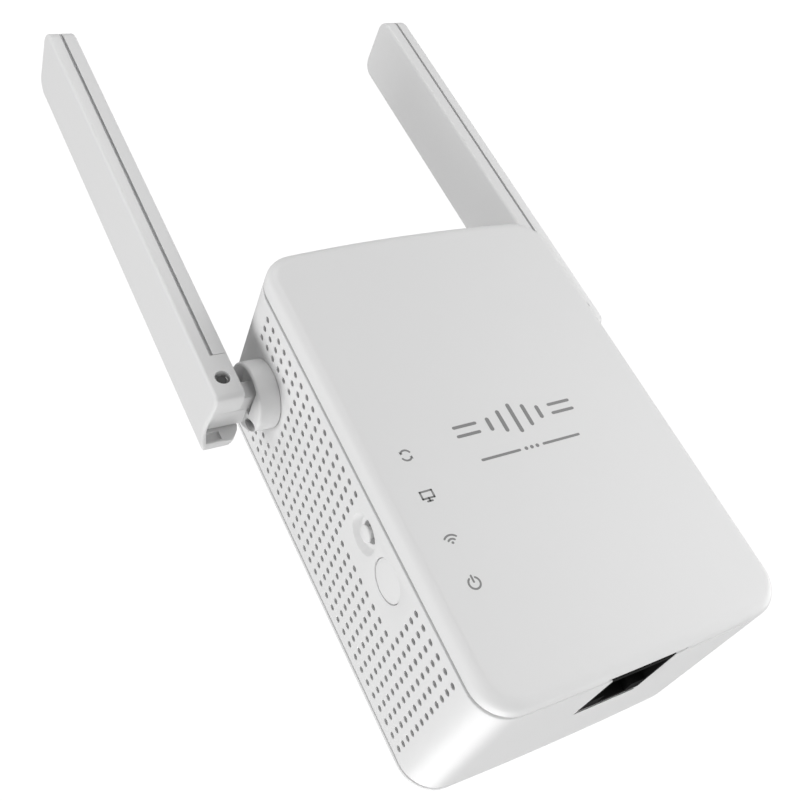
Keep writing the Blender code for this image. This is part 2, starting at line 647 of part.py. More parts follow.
def buttons():
    face = BUTTON_FACE_X
    reset = rod("reset_button", "X", (face + RESET_SUNK, BUTTON_Y, RESET_Z),
                (STEM_END_X, BUTTON_Y, RESET_Z), RESET_R, BUTTON_WHITE)
    join(reset, rod("reset_flange", "X", (FLANGE_FACE_X, BUTTON_Y, RESET_Z),
                    (STEM_END_X, BUTTON_Y, RESET_Z), RESET_R + RESET_FLANGE))
    wps = rod("wps_button", "X", (face, BUTTON_Y, WPS_Z), (FLANGE_FACE_X, BUTTON_Y, WPS_Z), WPS_R,
              BUTTON_WHITE)
    join(wps, rod("wps_flange", "X", (face + WALL + GAP, BUTTON_Y, WPS_Z),
                  (FLANGE_FACE_X, BUTTON_Y, WPS_Z), WPS_R + WPS_FLANGE))
    join(wps, rod("wps_stem", "X", (FLANGE_FACE_X - BITE, BUTTON_Y, WPS_Z),
                  (STEM_END_X, BUTTON_Y, WPS_Z), STEM_R, sides=SMALL_ROUND))
    for name, z in (("reset", RESET_Z), ("wps", WPS_Z)):
        rod(f"{name}_plunger", "X", (STEM_END_X + GAP, BUTTON_Y, z), (PLUNGER_END_X, BUTTON_Y, z),
            PLUNGER_R, PLASTIC_BLACK, sides=SMALL_ROUND)
        switch = box(f"{name}_switch", (SWITCH_FRONT_X, BUTTON_Y - SWITCH_HALF, z - SWITCH_HALF),
                     (SWITCH_BACK_X, BUTTON_Y + SWITCH_HALF, z + SWITCH_HALF), TINPLATE)
        join(switch, box(f"{name}_bracket", (BRACKET_X[0], BUTTON_Y, z - BRACKET_HALF_Z),
                         (BRACKET_X[1], MAIN_FRONT_Y - GAP, z + BRACKET_HALF_Z)))
        cut(switch, rod(f"{name}_plunger_hole", "X", (SWITCH_FRONT_X - PAST, BUTTON_Y, z),
                        (PLUNGER_END_X + 2 * PRESS, BUTTON_Y, z), PLUNGER_R + GAP, sides=SMALL_ROUND))


# ---------------------------------------------------------------- power board
def power_board():
    board = box("power_board", (-POWER_HALF_X, POWER_FRONT_Y, POWER_BOTTOM_Z),
                (POWER_HALF_X, POWER_BACK_Y, POWER_TOP_Z), BOARD_GREEN)
    for index, (x, z) in enumerate(POWER_POSTS):
        cut(board, rod("power_hole", "Y", (x, POWER_FRONT_Y - PAST, z), (x, POWER_BACK_Y + PAST, z),
                       SCREW_SHANK_R + GAP, sides=SMALL_ROUND))
        screw(f"power_screw_{index + 1}", x, z, POWER_FRONT_Y - GAP - SCREW_HEAD_H, POWER_SCREW_END_Y,
              BOARD_SCREW_R)
    left, right = TRANSFORMER_X
    bottom, top = TRANSFORMER_Z
    transformer = box("transformer", (left, PART_BASE_Y - TRANSFORMER_HIGH, bottom),
                      (right, PART_BASE_Y, top), CORE_FERRITE, edge=BITE)
    rim_x, rim_z = BOBBIN_RIM
    join(transformer, box("bobbin", (left - rim_x, PART_BASE_Y - BOBBIN_HIGH, bottom - rim_z),
                          (right + rim_x, PART_BASE_Y, top + rim_z)))
    for name, (x, z, radius, high) in CANS.items():
        finish = CORE_FERRITE if name == "filter_inductor" else CAPACITOR_SLEEVE
        rod(name, "Y", (x, PART_BASE_Y - high, z), (x, PART_BASE_Y, z), radius, finish, sides=24)
    fuse_y = PART_BASE_Y - FUSE_R - GAP
    rod("fuse", "X", (FUSE_X[0], fuse_y, FUSE_Z), (FUSE_X[1], fuse_y, FUSE_Z), FUSE_R, FUSE_SLEEVE,
        sides=SMALL_ROUND)
    box("rectifier", (RECTIFIER_X[0], PART_BASE_Y - RECTIFIER_HIGH, RECTIFIER_Z[0]),
        (RECTIFIER_X[1], PART_BASE_Y, RECTIFIER_Z[1]), PLASTIC_BLACK)


def mains_wires():
    """From the inner end of each plug blade down to the top edge of the power board."""
    for side, colour in (("left", WIRE_BLACK), ("right", WIRE_RED)):
        sign = -1 if side == "left" else 1
        x = sign * BLADE_SPACING / 2
        pad_x, pad_z = MAINS_PADS[side]
        route = [(x, BLADE_IN_Y - GAP, PLUG_Z), (x, BLADE_IN_Y - 2.5, PLUG_Z - 1.0),
                 (x + sign * 1.0, BLADE_IN_Y - 3.6, PLUG_Z - 5.0),
                 ((x + pad_x) / 2, BLADE_IN_Y - 3.2, PLUG_Z - 9.5),
                 (pad_x, BLADE_IN_Y - 2.0, pad_z + 0.9), (pad_x, PART_BASE_Y, pad_z)]
        wire(f"mains_wire_{side}", route, MAINS_WIRE_R, colour)


def supply_wires():
    """The two low-voltage leads from the power board forward to the main board."""
    low, high = SUPPLY_Z
    for pole, colour in (("positive", WIRE_RED), ("negative", WIRE_BLACK)):
        x = SUPPLY_X[pole]
        route = [(x, PART_BASE_Y, low), (x, PART_BASE_Y - 3.0, low + 0.5),
                 (x, PART_BASE_Y - 6.0, high - 1.5), (x, MAIN_BACK_Y + 3.0, high),
                 (x, MAIN_BACK_Y + GAP, high)]
        wire(f"supply_wire_{pole}", route, SUPPLY_WIRE_R, colour)


# ---------------------------------------------------------------- antennas
def blade_outline():
    """The antenna's outline in Y and Z: round tip corners, a foot arched towards its rear half."""
    low_y, high_y = BLADE_Y - BLADE_HALF_Y, BLADE_Y + BLADE_HALF_Y
    points = []
    for centre_y, start in ((high_y - BLADE_TIP_R, 0.0), (low_y + BLADE_TIP_R, math.pi / 2)):
        for step in range(7):
            angle = start + math.pi / 2 * step / 6
            points.append((centre_y + BLADE_TIP_R * math.cos(angle),
                           BLADE_TIP_Z - BLADE_TIP_R + BLADE_TIP_R * math.sin(angle)))
    for share, rise in FOOT_LINE:
        points.append((low_y + (high_y - low_y) * share, BLADE_FOOT_Z + rise))
    return points


def blade_solid(name, low, high, finish=None):
    thing = place(mesh_of(outline_mesh(blade_outline(), low, high, "X"), name), name, finish)
    smooth(thing)
    return thing


def span(side, near, far):
    """An interval in X on one side of the object, from its distances to the middle."""
    return sorted((side * near, side * far))


def side_box(name, side, x, y, z, finish=None):
    low, high = span(side, *x)
    return box(name, (low, y[0], z[0]), (high, y[1], z[1]), finish)


def side_rod(name, side, x, y, z, radius, finish=None, sides=ROUND):
    low, high = span(side, *x)
    return rod(name, "X", (low, y, z), (high, y, z), radius, finish, sides=sides)


def antenna_shell(hand, side):
    """The outer half of the blade: a deep plate, with full walls around the hinge at its foot."""
    low, high = span(side, BLADE_IN_X, BLADE_OUT_X)
    shell = blade_solid(f"{hand}_antenna_shell", low, high, CASE_WHITE)
    inner_y = (BLADE_Y - BLADE_HALF_Y + SHELL_WALL, BLADE_Y + BLADE_HALF_Y - SHELL_WALL)
    cut(shell, side_box(f"{hand}_inner_half", side, (BLADE_IN_X - PAST, BLADE_SPLIT_X + GAP / 2),
                        THROUGH_Y, (COVER_FOOT_Z, BLADE_TIP_Z + PAST)))
    cut(shell, side_box(f"{hand}_shell_hollow", side, (BLADE_IN_X - PAST, BLADE_OUT_X - FACE_WALL), inner_y,
                        (COVER_FOOT_Z + SHELL_WALL, BLADE_TIP_Z - TIP_WALL)))
    pocket_x = (BLADE_IN_X - PAST, BLADE_OUT_X - POCKET_WALL)
    cut(shell, side_box(f"{hand}_hinge_pocket", side, pocket_x, inner_y,
                        (FOOT_TOP_Z, COVER_FOOT_Z + SHELL_WALL + BITE)))
    foot_z = (BLADE_FOOT_Z - PAST, FOOT_TOP_Z + BITE)
    cut(shell, side_box(f"{hand}_neck_way", side, pocket_x,
                        (HUB_Y - FOOT_GAP_HALF_Y, HUB_Y + FOOT_GAP_HALF_Y), foot_z))
    for pocket in ((BLADE_IN_X + POCKET_WALL, FOOT_RIB_X[0]), (FOOT_RIB_X[1], BLADE_OUT_X - POCKET_WALL)):
        cut(shell, side_box(f"{hand}_foot_pocket", side, pocket, (HUB_Y, inner_y[1]), foot_z))
    cut(shell, rod(f"{hand}_pin_hole", "Y", (side * PIN_X, THROUGH_Y[0], HUB_Z),
                   (side * PIN_X, THROUGH_Y[1], HUB_Z), PIN_HOLE_R, sides=24))


def antenna_cover(hand, side):
    """The inner half of the blade, from above the hinge to the tip."""
    low, high = span(side, BLADE_IN_X, BLADE_SPLIT_X - GAP / 2)
    cover = blade_solid(f"{hand}_antenna_cover", low, high, CASE_WHITE)
    cut(cover, side_box(f"{hand}_cover_foot", side, (BLADE_IN_X - PAST, BLADE_OUT_X), THROUGH_Y,
                        (BLADE_FOOT_Z - PAST, COVER_FOOT_Z + GAP)))
    inner_y = (BLADE_Y - BLADE_HALF_Y + SHELL_WALL, BLADE_Y + BLADE_HALF_Y - SHELL_WALL)
    cut(cover, side_box(f"{hand}_cover_hollow", side, (BLADE_IN_X + FACE_WALL, BLADE_OUT_X), inner_y,
                        (COVER_FOOT_Z - PAST, BLADE_TIP_Z - TIP_WALL)))


def antenna_swivel(hand, side):
    """The round base that turns in the casing, with the neck and the knuckle of the hinge."""
    swivel = side_rod(f"{hand}_swivel", side, (HUB_BASE_X, HUB_END_X), HUB_Y, HUB_Z, HUB_R, CASE_WHITE)
    join(swivel, side_rod(f"{hand}_barrel", side, (HUB_BARREL_END_X, HUB_BASE_X + BITE), HUB_Y, HUB_Z,
                          HUB_BARREL_R))
    near, far = HUB_GROOVE_X
    groove = side_rod(f"{hand}_groove", side, (near - GAP, far + GAP), HUB_Y, HUB_Z, RETAINER_R)
    cut(groove, side_rod(f"{hand}_groove_core", side, (near - PAST, far + PAST), HUB_Y, HUB_Z,
                         HUB_GROOVE_R))
    cut(swivel, groove)
    for way in (-1, 1):
        low_y, high_y = span(way, NECK_HALF_Y, NECK_HALF_Y + HUB_SLOT_WIDE)
        cut(swivel, side_box(f"{hand}_hub_slot", side, (HUB_END_X - HUB_SLOT_DEEP, HUB_END_X + PAST),
                             (HUB_Y + low_y, HUB_Y + high_y),
                             (HUB_Z - HUB_SLOT_HALF_Z, HUB_Z + HUB_SLOT_HALF_Z)))
    join(swivel, side_box(f"{hand}_neck", side, (HUB_END_X - BITE, PIN_X),
                          (HUB_Y - NECK_HALF_Y, HUB_Y + NECK_HALF_Y),
                          (HUB_Z - NECK_BOTTOM, HUB_Z + NECK_TOP)))
    join(swivel, rod(f"{hand}_knuckle", "Y", (side * PIN_X, BLADE_Y - KNUCKLE_HALF_Y, HUB_Z),
                     (side * PIN_X, BLADE_Y + KNUCKLE_HALF_Y, HUB_Z), KNUCKLE_R, sides=24))
    cut(swivel, rod(f"{hand}_knuckle_bore", "Y", (side * PIN_X, THROUGH_Y[0], HUB_Z),
                    (side * PIN_X, THROUGH_Y[1], HUB_Z), KNUCKLE_BORE_R, sides=24))
    cut(swivel, side_rod(f"{hand}_cable_bore", side, (HUB_BARREL_END_X - PAST, HUB_END_X + BITE),
                         HUB_Y, HUB_Z, HUB_BORE_R, sides=SMALL_ROUND))


def antenna(hand, side):
    antenna_swivel(hand, side)
    antenna_shell(hand, side)
    antenna_cover(hand, side)
    rod(f"{hand}_hinge_pin", "Y", (side * PIN_X, BLADE_Y - PIN_HALF_Y, HUB_Z),
        (side * PIN_X, BLADE_Y + PIN_HALF_Y, HUB_Z), PIN_R, STEEL, sides=24)
    retainer = side_rod(f"{hand}_retainer", side, HUB_GROOVE_X, HUB_Y, HUB_Z, RETAINER_R, STEEL,
                        sides=24)
    through_x = (HUB_GROOVE_X[0] - PAST, HUB_GROOVE_X[1] + PAST)
    cut(retainer, side_rod(f"{hand}_retainer_hole", side, through_x, HUB_Y, HUB_Z,
                           HUB_GROOVE_R + GAP, sides=24))
    cut(retainer, side_box(f"{hand}_retainer_mouth", side, through_x,
                           (HUB_Y - RETAINER_MOUTH, HUB_Y + RETAINER_MOUTH),
                           (HUB_Z - RETAINER_R - PAST, HUB_Z)))
    side_box(f"{hand}_radiator", side, RADIATOR_X, (BLADE_Y - RADIATOR_HALF_Y, BLADE_Y + RADIATOR_HALF_Y),
             RADIATOR_Z, BOARD_GREEN)
    wire(f"{hand}_coax", [(side * x, y, z) for x, y, z in COAX_ROUTE], COAX_R, WIRE_GREY)
    middle_x = side * sum(RADIATOR_X) / 2
    end_z = RADIATOR_Z[0] - GAP
    wire(f"{hand}_coax_tail", [(middle_x, BLADE_Y, COAX_TAIL_Z),
                               (middle_x, BLADE_Y, (COAX_TAIL_Z + end_z) / 2),
                               (middle_x, BLADE_Y, end_z)], COAX_R, WIRE_GREY)


front_cover()
mid_frame()
back_cover()
case_screws()
plug()
main_board()
network_jack()
indicator_lights()
buttons()
power_board()
mains_wires()
supply_wires()
antenna("left", -1)
antenna("right", 1)
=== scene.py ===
import json
import math

import bmesh
import bpy
from mathutils import Euler, Matrix, Vector
from mathutils.geometry import delaunay_2d_cdt


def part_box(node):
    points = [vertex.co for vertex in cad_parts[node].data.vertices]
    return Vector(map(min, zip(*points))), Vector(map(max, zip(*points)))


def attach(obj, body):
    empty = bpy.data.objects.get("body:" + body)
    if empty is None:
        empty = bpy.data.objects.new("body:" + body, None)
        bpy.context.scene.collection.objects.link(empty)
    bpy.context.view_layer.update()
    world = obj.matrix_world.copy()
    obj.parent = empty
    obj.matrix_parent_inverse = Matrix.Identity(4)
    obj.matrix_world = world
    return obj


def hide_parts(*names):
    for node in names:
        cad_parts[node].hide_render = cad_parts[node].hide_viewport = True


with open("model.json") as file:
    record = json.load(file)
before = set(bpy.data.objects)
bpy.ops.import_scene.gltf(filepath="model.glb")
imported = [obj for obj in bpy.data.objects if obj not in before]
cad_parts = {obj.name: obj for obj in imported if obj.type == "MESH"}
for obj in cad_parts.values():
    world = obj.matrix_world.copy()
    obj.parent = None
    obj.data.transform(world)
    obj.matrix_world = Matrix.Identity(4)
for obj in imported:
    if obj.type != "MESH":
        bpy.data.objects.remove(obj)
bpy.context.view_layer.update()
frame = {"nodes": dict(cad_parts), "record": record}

MM = 0.001
NODES = frame["nodes"]


def corners(node):
    """A CAD node's lowest and highest corner, in millimetres."""
    low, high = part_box(node)
    return low / MM, high / MM


# ---------------------------------------------------------------- sizes, in millimetres
COVER_LOW, COVER_HIGH = corners("front_cover")
FRAME_LOW, FRAME_HIGH = corners("mid_frame")
FRONT_Y = COVER_LOW.y
FRAME_FRONT_Y = FRAME_LOW.y
FRAME_BACK_Y = FRAME_HIGH.y
# gap between two casing shells
SEAM = 0.3
COVER_BACK_Y = FRAME_FRONT_Y - SEAM
BACK_FRONT_Y = FRAME_BACK_Y + SEAM
HALF_W = (COVER_HIGH.x - COVER_LOW.x) / 2
ARCH_TOP = 1.32
ARCH_BOTTOM = 0.49
HALF_H = COVER_HIGH.z - ARCH_TOP
CORNER_R = 6.75
WALL = 1.8
# how much narrower the casing is at its back than at its front, on each side
DRAFT_X = 0.61
DRAFT_Z = 0.31
FRONT_EDGE_R = 2.0
BACK_EDGE_R = 0.6
SEAM_EDGE_R = 0.22
# rebates on the outer edges at the seams, which make each seam a wider, darker line
SEAM_STEP = 0.2
BACK_SEAM_STEP = 0.16
SEAM_STEP_DEPTH = 0.9
LIP_INSET = WALL + 0.3
LIP_WALL = 1.2
LIP_REACH = 2.0

VENT_PITCH = 2.4916
VENT_R = 0.6
VENT_COLUMNS = 12
VENT_ROWS = 30
VENT_FIRST_Y = -31.54
VENT_FIRST_Z = 36.04
# rows and columns without vent holes, round the antenna's base and round the buttons
HUB_PLAIN = (range(0, 6), range(3, 9))
BUTTON_PLAIN = (range(16, 24), range(0, 5))

HUB_HOLE_R = 4.7
DISH_R = 3.6
WPS_HOLE_R = 3.99
# each hole: its number of sides, then (radius, depth) from the outer skin to the inner one
VENT_HOLE = (12, [(VENT_R + 0.07, 0.0), (VENT_R, 0.08), (VENT_R, WALL)])
HUB_HOLE = (40, [(HUB_HOLE_R, 0.0), (HUB_HOLE_R, WALL)])
DISH_HOLE = (48, [(DISH_R + 0.3, 0.0), (DISH_R + 0.12, 0.03), (DISH_R, 0.14), (3.0, 1.12), (2.75, 1.3),
                  (2.15, 1.32), (2.05, 1.4), (2.05, 2.4), (2.8, 2.4), (2.8, WALL)])
WPS_HOLE = (48, [(WPS_HOLE_R + 0.13, 0.0), (WPS_HOLE_R + 0.03, 0.04), (WPS_HOLE_R, 0.13),
                 (WPS_HOLE_R, WALL)])
NOTCH_HALF = 6.75
NOTCH_REAR = -21.2
NOTCH_TALL = 6.0
NOTCH_LIP_HALF = 2.2
NOTCH_LIP_LEAN = -42
# gap between the front cover's lip and the socket, and the height of the way cut in the lip
SOCKET_ROOM = 0.6
SOCKET_ROOM_TALL = 8.0
# how far most cutting blocks reach past the surface that they cut
PAST = 1.0


# ---------------------------------------------------------------- materials
def surface(name, colour, roughness, metallic=0.0, grain=7000.0, depth=0.004, mottle=0.02,
            rough_spread=0.06, stretch=(1.0, 1.0, 1.0), **settings):
    """A procedural finish: fine grain in bump and roughness, and a broad, faint colour variation."""
    made = bpy.data.materials.new(name)
    made.use_nodes = True
    nodes, links = made.node_tree.nodes, made.node_tree.links
    shader = nodes["Principled BSDF"]
    shader.inputs["Metallic"].default_value = metallic
    for key, value in settings.items():
        shader.inputs[key.replace("_", " ")].default_value = value
    where = nodes.new("ShaderNodeTexCoord")
    mapping = nodes.new("ShaderNodeMapping")
    mapping.inputs["Scale"].default_value = stretch
    links.new(where.outputs["Object"], mapping.inputs["Vector"])
    fine = nodes.new("ShaderNodeTexNoise")
    fine.inputs["Scale"].default_value = grain
    fine.inputs["Detail"].default_value = 3.0
    links.new(mapping.outputs["Vector"], fine.inputs["Vector"])
    broad = nodes.new("ShaderNodeTexNoise")
    broad.inputs["Scale"].default_value = 60.0
    broad.inputs["Detail"].default_value = 4.0
    links.new(where.outputs["Object"], broad.inputs["Vector"])
    bump = nodes.new("ShaderNodeBump")
    bump.inputs["Strength"].default_value = 0.5
    bump.inputs["Distance"].default_value = depth * MM
    links.new(fine.outputs["Fac"], bump.inputs["Height"])
    links.new(bump.outputs["Normal"], shader.inputs["Normal"])
    rough = nodes.new("ShaderNodeMapRange")
    rough.inputs["To Min"].default_value = roughness - rough_spread
    rough.inputs["To Max"].default_value = roughness + rough_spread
    links.new(fine.outputs["Fac"], rough.inputs["Value"])
    links.new(rough.outputs["Result"], shader.inputs["Roughness"])
    tint = nodes.new("ShaderNodeMix")
    tint.data_type = "RGBA"
    tint.inputs["A"].default_value = (*[c * (1.0 - mottle) for c in colour], 1.0)
    tint.inputs["B"].default_value = (*[min(1.0, c * (1.0 + mottle)) for c in colour], 1.0)
    links.new(broad.outputs["Fac"], tint.inputs["Factor"])
    links.new(tint.outputs["Result"], shader.inputs["Base Color"])
    return made


def board_surface():
    """Green solder mask over a maze of copper tracks."""
    made = surface("board_green", (0.02, 0.13, 0.06), 0.35, grain=3000.0, Coat_Weight=0.4)
    nodes, links = made.node_tree.nodes, made.node_tree.links
    shader = nodes["Principled BSDF"]
    where = nodes.new("ShaderNodeTexCoord")
    tracks = nodes.new("ShaderNodeTexBrick")
    tracks.inputs["Scale"].default_value = 260.0
    tracks.inputs["Mortar Size"].default_value = 0.035
    tracks.inputs["Color1"].default_value = (0.015, 0.11, 0.05, 1.0)
    tracks.inputs["Color2"].default_value = (0.02, 0.15, 0.07, 1.0)
    tracks.inputs["Mortar"].default_value = (0.05, 0.28, 0.12, 1.0)
    turn = nodes.new("ShaderNodeMapping")
    turn.inputs["Rotation"].default_value = (math.pi / 2, 0.0, 0.0)
    links.new(where.outputs["Object"], turn.inputs["Vector"])
    links.new(turn.outputs["Vector"], tracks.inputs["Vector"])
    links.new(tracks.outputs["Color"], shader.inputs["Base Color"])
    return made


FINISH = {
    "case_white": surface("case_white", (0.78, 0.78, 0.78), 0.42, depth=0.004, mottle=0.008,
                          Specular_IOR_Level=0.4),
    "button_white": surface("button_white", (0.80, 0.80, 0.80), 0.36, depth=0.003, mottle=0.008),
    "plug_white": surface("plug_white", (0.70, 0.70, 0.69), 0.5, grain=5000.0, depth=0.01),
    "board_green": board_surface(),
    "plastic_black": surface("plastic_black", (0.012, 0.012, 0.012), 0.42, grain=6000.0, depth=0.006,
                             mottle=0.15),
    "light_clear": surface("light_clear", (0.85, 0.88, 0.9), 0.12, mottle=0.01,
                           Transmission_Weight=0.8, IOR=1.5),
    "led_cream": surface("led_cream", (0.9, 0.86, 0.62), 0.3, mottle=0.03),
    "tinplate": surface("tinplate", (0.7, 0.7, 0.69), 0.3, 1.0, grain=900.0, depth=0.006,
                        stretch=(1.0, 1.0, 9.0)),
    "steel": surface("steel", (0.56, 0.56, 0.57), 0.3, 1.0, grain=2500.0, depth=0.006, mottle=0.06,
                     stretch=(1.0, 6.0, 1.0)),
    "nickel_brass": surface("nickel_brass", (0.76, 0.72, 0.62), 0.24, 1.0, grain=1800.0, depth=0.005,
                            mottle=0.04, stretch=(1.0, 1.0, 8.0)),
    "contact_gold": surface("contact_gold", (0.78, 0.64, 0.36), 0.28, 1.0, grain=3000.0,
                            mottle=0.05),
    "capacitor_sleeve": surface("capacitor_sleeve", (0.03, 0.04, 0.08), 0.32, mottle=0.1),
    "core_ferrite": surface("core_ferrite", (0.05, 0.05, 0.05), 0.62, grain=3500.0, depth=0.02,
                            mottle=0.2),
    "fuse_sleeve": surface("fuse_sleeve", (0.08, 0.24, 0.1), 0.4, mottle=0.08),
    "wire_red": surface("wire_red", (0.5, 0.02, 0.015), 0.4, mottle=0.05),
    "wire_black": surface("wire_black", (0.015, 0.015, 0.015), 0.4, mottle=0.1),
    "wire_grey": surface("wire_grey", (0.32, 0.32, 0.33), 0.42, mottle=0.05),
}
SOCKET_BLACK = surface("socket_black", (0.006, 0.006, 0.006), 0.8, grain=6000.0, depth=0.006,
                       mottle=0.15, Specular_IOR_Level=0.08)
INK = surface("print_ink", (0.24, 0.24, 0.24), 0.5, grain=9000.0, depth=0.004, mottle=0.08)

# painted shade: the hinge pins are steel, but this near-black finish makes the pin holes in the blades look
# dark and hollow
PIN_PAINTED_SHADE = surface("pin_painted_shade", (0.045, 0.045, 0.045), 0.5, grain=2500.0, depth=0.006, mottle=0.06)

for entry in frame["record"]["subparts"]:
    for material_slot in NODES[entry["node"]].material_slots:
        material_slot.material = FINISH[entry["material_slot"]]
# the steel pins get the near-black painted shade, so their holes read as dark hollows
for pin in ("left_hinge_pin", "right_hinge_pin"):
    NODES[pin].material_slots[0].material = PIN_PAINTED_SHADE


# ---------------------------------------------------------------- modelling helpers
def piece(bm, name, slot, body="root", node=None, finish=None, angle=32.0):
    """Turn a bmesh in millimetres into a finished piece that rides on a body."""
    bmesh.ops.recalc_face_normals(bm, faces=bm.faces)
    mesh = bpy.data.meshes.new(name)
    bm.to_mesh(mesh)
    bm.free()
    return finish_piece(mesh, name, slot, body, node, finish, angle)


def finish_piece(mesh, name, slot, body="root", node=None, finish=None, angle=32.0):
    """Turn a mesh in millimetres into a finished piece in metres, with its body, slot and CAD node."""
    mesh.transform(Matrix.Scale(MM, 4))
    mesh.materials.clear()
    mesh.materials.append(finish or FINISH[slot])
    mesh.shade_smooth()
    mesh.set_sharp_from_angle(angle=math.radians(angle))
    thing = bpy.data.objects.new(name, mesh)
    bpy.context.scene.collection.objects.link(thing)
    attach(thing, body)
    if node:
        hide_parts(node)
    return thing


def ring(bm, points):
    """New vertices at the points."""
    return [bm.verts.new(p) for p in points]


def bridge(bm, a, b, skip=()):
    """Quads between two rings of the same length."""
    count = len(a)
    for i in range(count):
        if i not in skip:
            j = (i + 1) % count
            bm.faces.new((a[i], a[j], b[j], b[i]))


def tube_of(bm, rings, cap_start=True, cap_end=True, skip=()):
    """A skin through rings of the same length, closed at both ends unless told otherwise."""
    for a, b in zip(rings, rings[1:]):
        bridge(bm, a, b, skip)
    if cap_start:
        bm.faces.new(rings[0])
    if cap_end:
        bm.faces.new(rings[-1])


def fillet(inset_low, inset_high, y_low, y_high, steps):
    """A quarter turn from (inset_high, y_low) to (inset_low, y_high), as (inset, y) pairs."""
    pairs = []
    for step in range(steps + 1):
        a = math.pi / 2 * step / steps
        pairs.append((inset_high + (inset_low - inset_high) * math.sin(a),
                      y_high + (y_low - y_high) * math.cos(a)))
    return pairs


def block(low, high, edge=0.0, segments=3):
    """A box with its edges rounded."""
    low, high = Vector(low), Vector(high)
    bm = bmesh.new()
    bmesh.ops.create_cube(bm, size=1.0)
    bmesh.ops.scale(bm, vec=high - low, verts=bm.verts)
    bmesh.ops.translate(bm, vec=(high + low) / 2, verts=bm.verts)
    if edge:
        bmesh.ops.bevel(bm, geom=list(bm.edges), offset=edge, segments=segments, profile=0.5,
                        affect="EDGES")
    return bm


AXIS_TURN = {"X": Matrix.Rotation(math.pi / 2, 4, "Y"), "Y": Matrix.Rotation(-math.pi / 2, 4, "X"),
             "Z": Matrix.Identity(4)}


def turned(axis, centre, profile, sides=48):
    """A solid of revolution: profile is (distance along the axis, radius) from end to end."""
    bm = bmesh.new()
    rings = []
    for along, radius in profile:
        points = []
        for step in range(sides):
            a = 2 * math.pi * step / sides
            points.append((radius * math.cos(a), radius * math.sin(a), along))
        rings.append(ring(bm, points))
    tube_of(bm, rings)
    bmesh.ops.transform(bm, matrix=Matrix.Translation(centre) @ AXIS_TURN[axis], verts=bm.verts)
    bmesh.ops.recalc_face_normals(bm, faces=bm.faces)
    return bm


def shape(base, *steps):
    """Boolean steps on a base bmesh: each is ("cut" or "join", tool bmesh). Gives a mesh."""
    def holder(bm, name):
        """A passing object that holds a bmesh for the modifier."""
        bmesh.ops.recalc_face_normals(bm, faces=bm.faces)
        mesh = bpy.data.meshes.new(name)
        bm.to_mesh(mesh)
        bm.free()
        thing = bpy.data.objects.new(name, mesh)
        bpy.context.scene.collection.objects.link(thing)
        return thing

    body = holder(base, "shape")
    tools = []
    for kind, bm in steps:
        tool = holder(bm, "tool")
        tools.append(tool)
        change = body.modifiers.new(kind, "BOOLEAN")
        change.solver = "EXACT"
        change.operation = "DIFFERENCE" if kind == "cut" else "UNION"
        change.object = tool
    bpy.context.view_layer.update()
    made = bpy.data.meshes.new_from_object(body.evaluated_get(bpy.context.evaluated_depsgraph_get()))
    for thing in [body] + tools:
        old = thing.data
        bpy.data.objects.remove(thing, do_unlink=True)
        bpy.data.meshes.remove(old)
    return made


def mesh_as_bmesh(mesh):
    """A bmesh with the mesh's geometry, in place of the mesh."""
    bm = bmesh.new()
    bm.from_mesh(mesh)
    bpy.data.meshes.remove(mesh)
    return bm


# ---------------------------------------------------------------- casing
CORNERS = ("upper_left", "upper_right", "lower_left", "lower_right")
CORNER_STEPS = 10
ARCH_STEPS = 12
FLAT_MARGIN = 0.5


def outline(inset=0.0):
    """The casing's outline in X and Z: straight sides, round corners, arched top and bottom."""
    radius = CORNER_R - inset
    centre_x = HALF_W - CORNER_R
    points = []
    for up, arch in ((1, ARCH_TOP), (-1, ARCH_BOTTOM)):
        lean = 0.0
        for _ in range(6):
            join_x = centre_x + CORNER_R * math.sin(lean)
            lean = math.atan(2 * arch * join_x / HALF_W ** 2)
        centre_z = HALF_H + arch * (1 - (join_x / HALF_W) ** 2) - CORNER_R * math.cos(lean)
        end_x = centre_x + radius * math.sin(lean)
        end_z = centre_z + radius * math.cos(lean)
        for side in (up, -up):
            corner = [(side * (HALF_W - inset), up * (centre_z - FLAT_MARGIN))]
            for step in range(CORNER_STEPS + 1):
                a = (math.pi / 2 - lean) * step / CORNER_STEPS
                corner.append((side * (centre_x + radius * math.cos(a)),
                               up * (centre_z + radius * math.sin(a))))
            points += corner if side == up else corner[::-1]
            if side == up:
                for step in range(1, ARCH_STEPS):
                    x = end_x * (1 - 2 * step / ARCH_STEPS)
                    points.append((side * x, up * (end_z + arch * (end_x ** 2 - x ** 2) / HALF_W ** 2)))
    return points


OUTLINE_COUNT = len(outline())
FLAT_EDGES = {-1: OUTLINE_COUNT // 2 - 1, 1: OUTLINE_COUNT - 1}


def drafted(x, y, z):
    """A point of the outline carried to y, where the casing is a little smaller towards its back."""
    share = (y - COVER_BACK_Y) / (BACK_FRONT_Y - COVER_BACK_Y)
    share = max(0.0, share)
    return Vector((x * (1 - DRAFT_X / HALF_W * share), y, z * (1 - DRAFT_Z / HALF_H * share)))


def case_ring(bm, inset, y):
    """The casing's outline at y, inset from its outer face."""
    return ring(bm, [drafted(x, y, z) for x, z in outline(inset)])


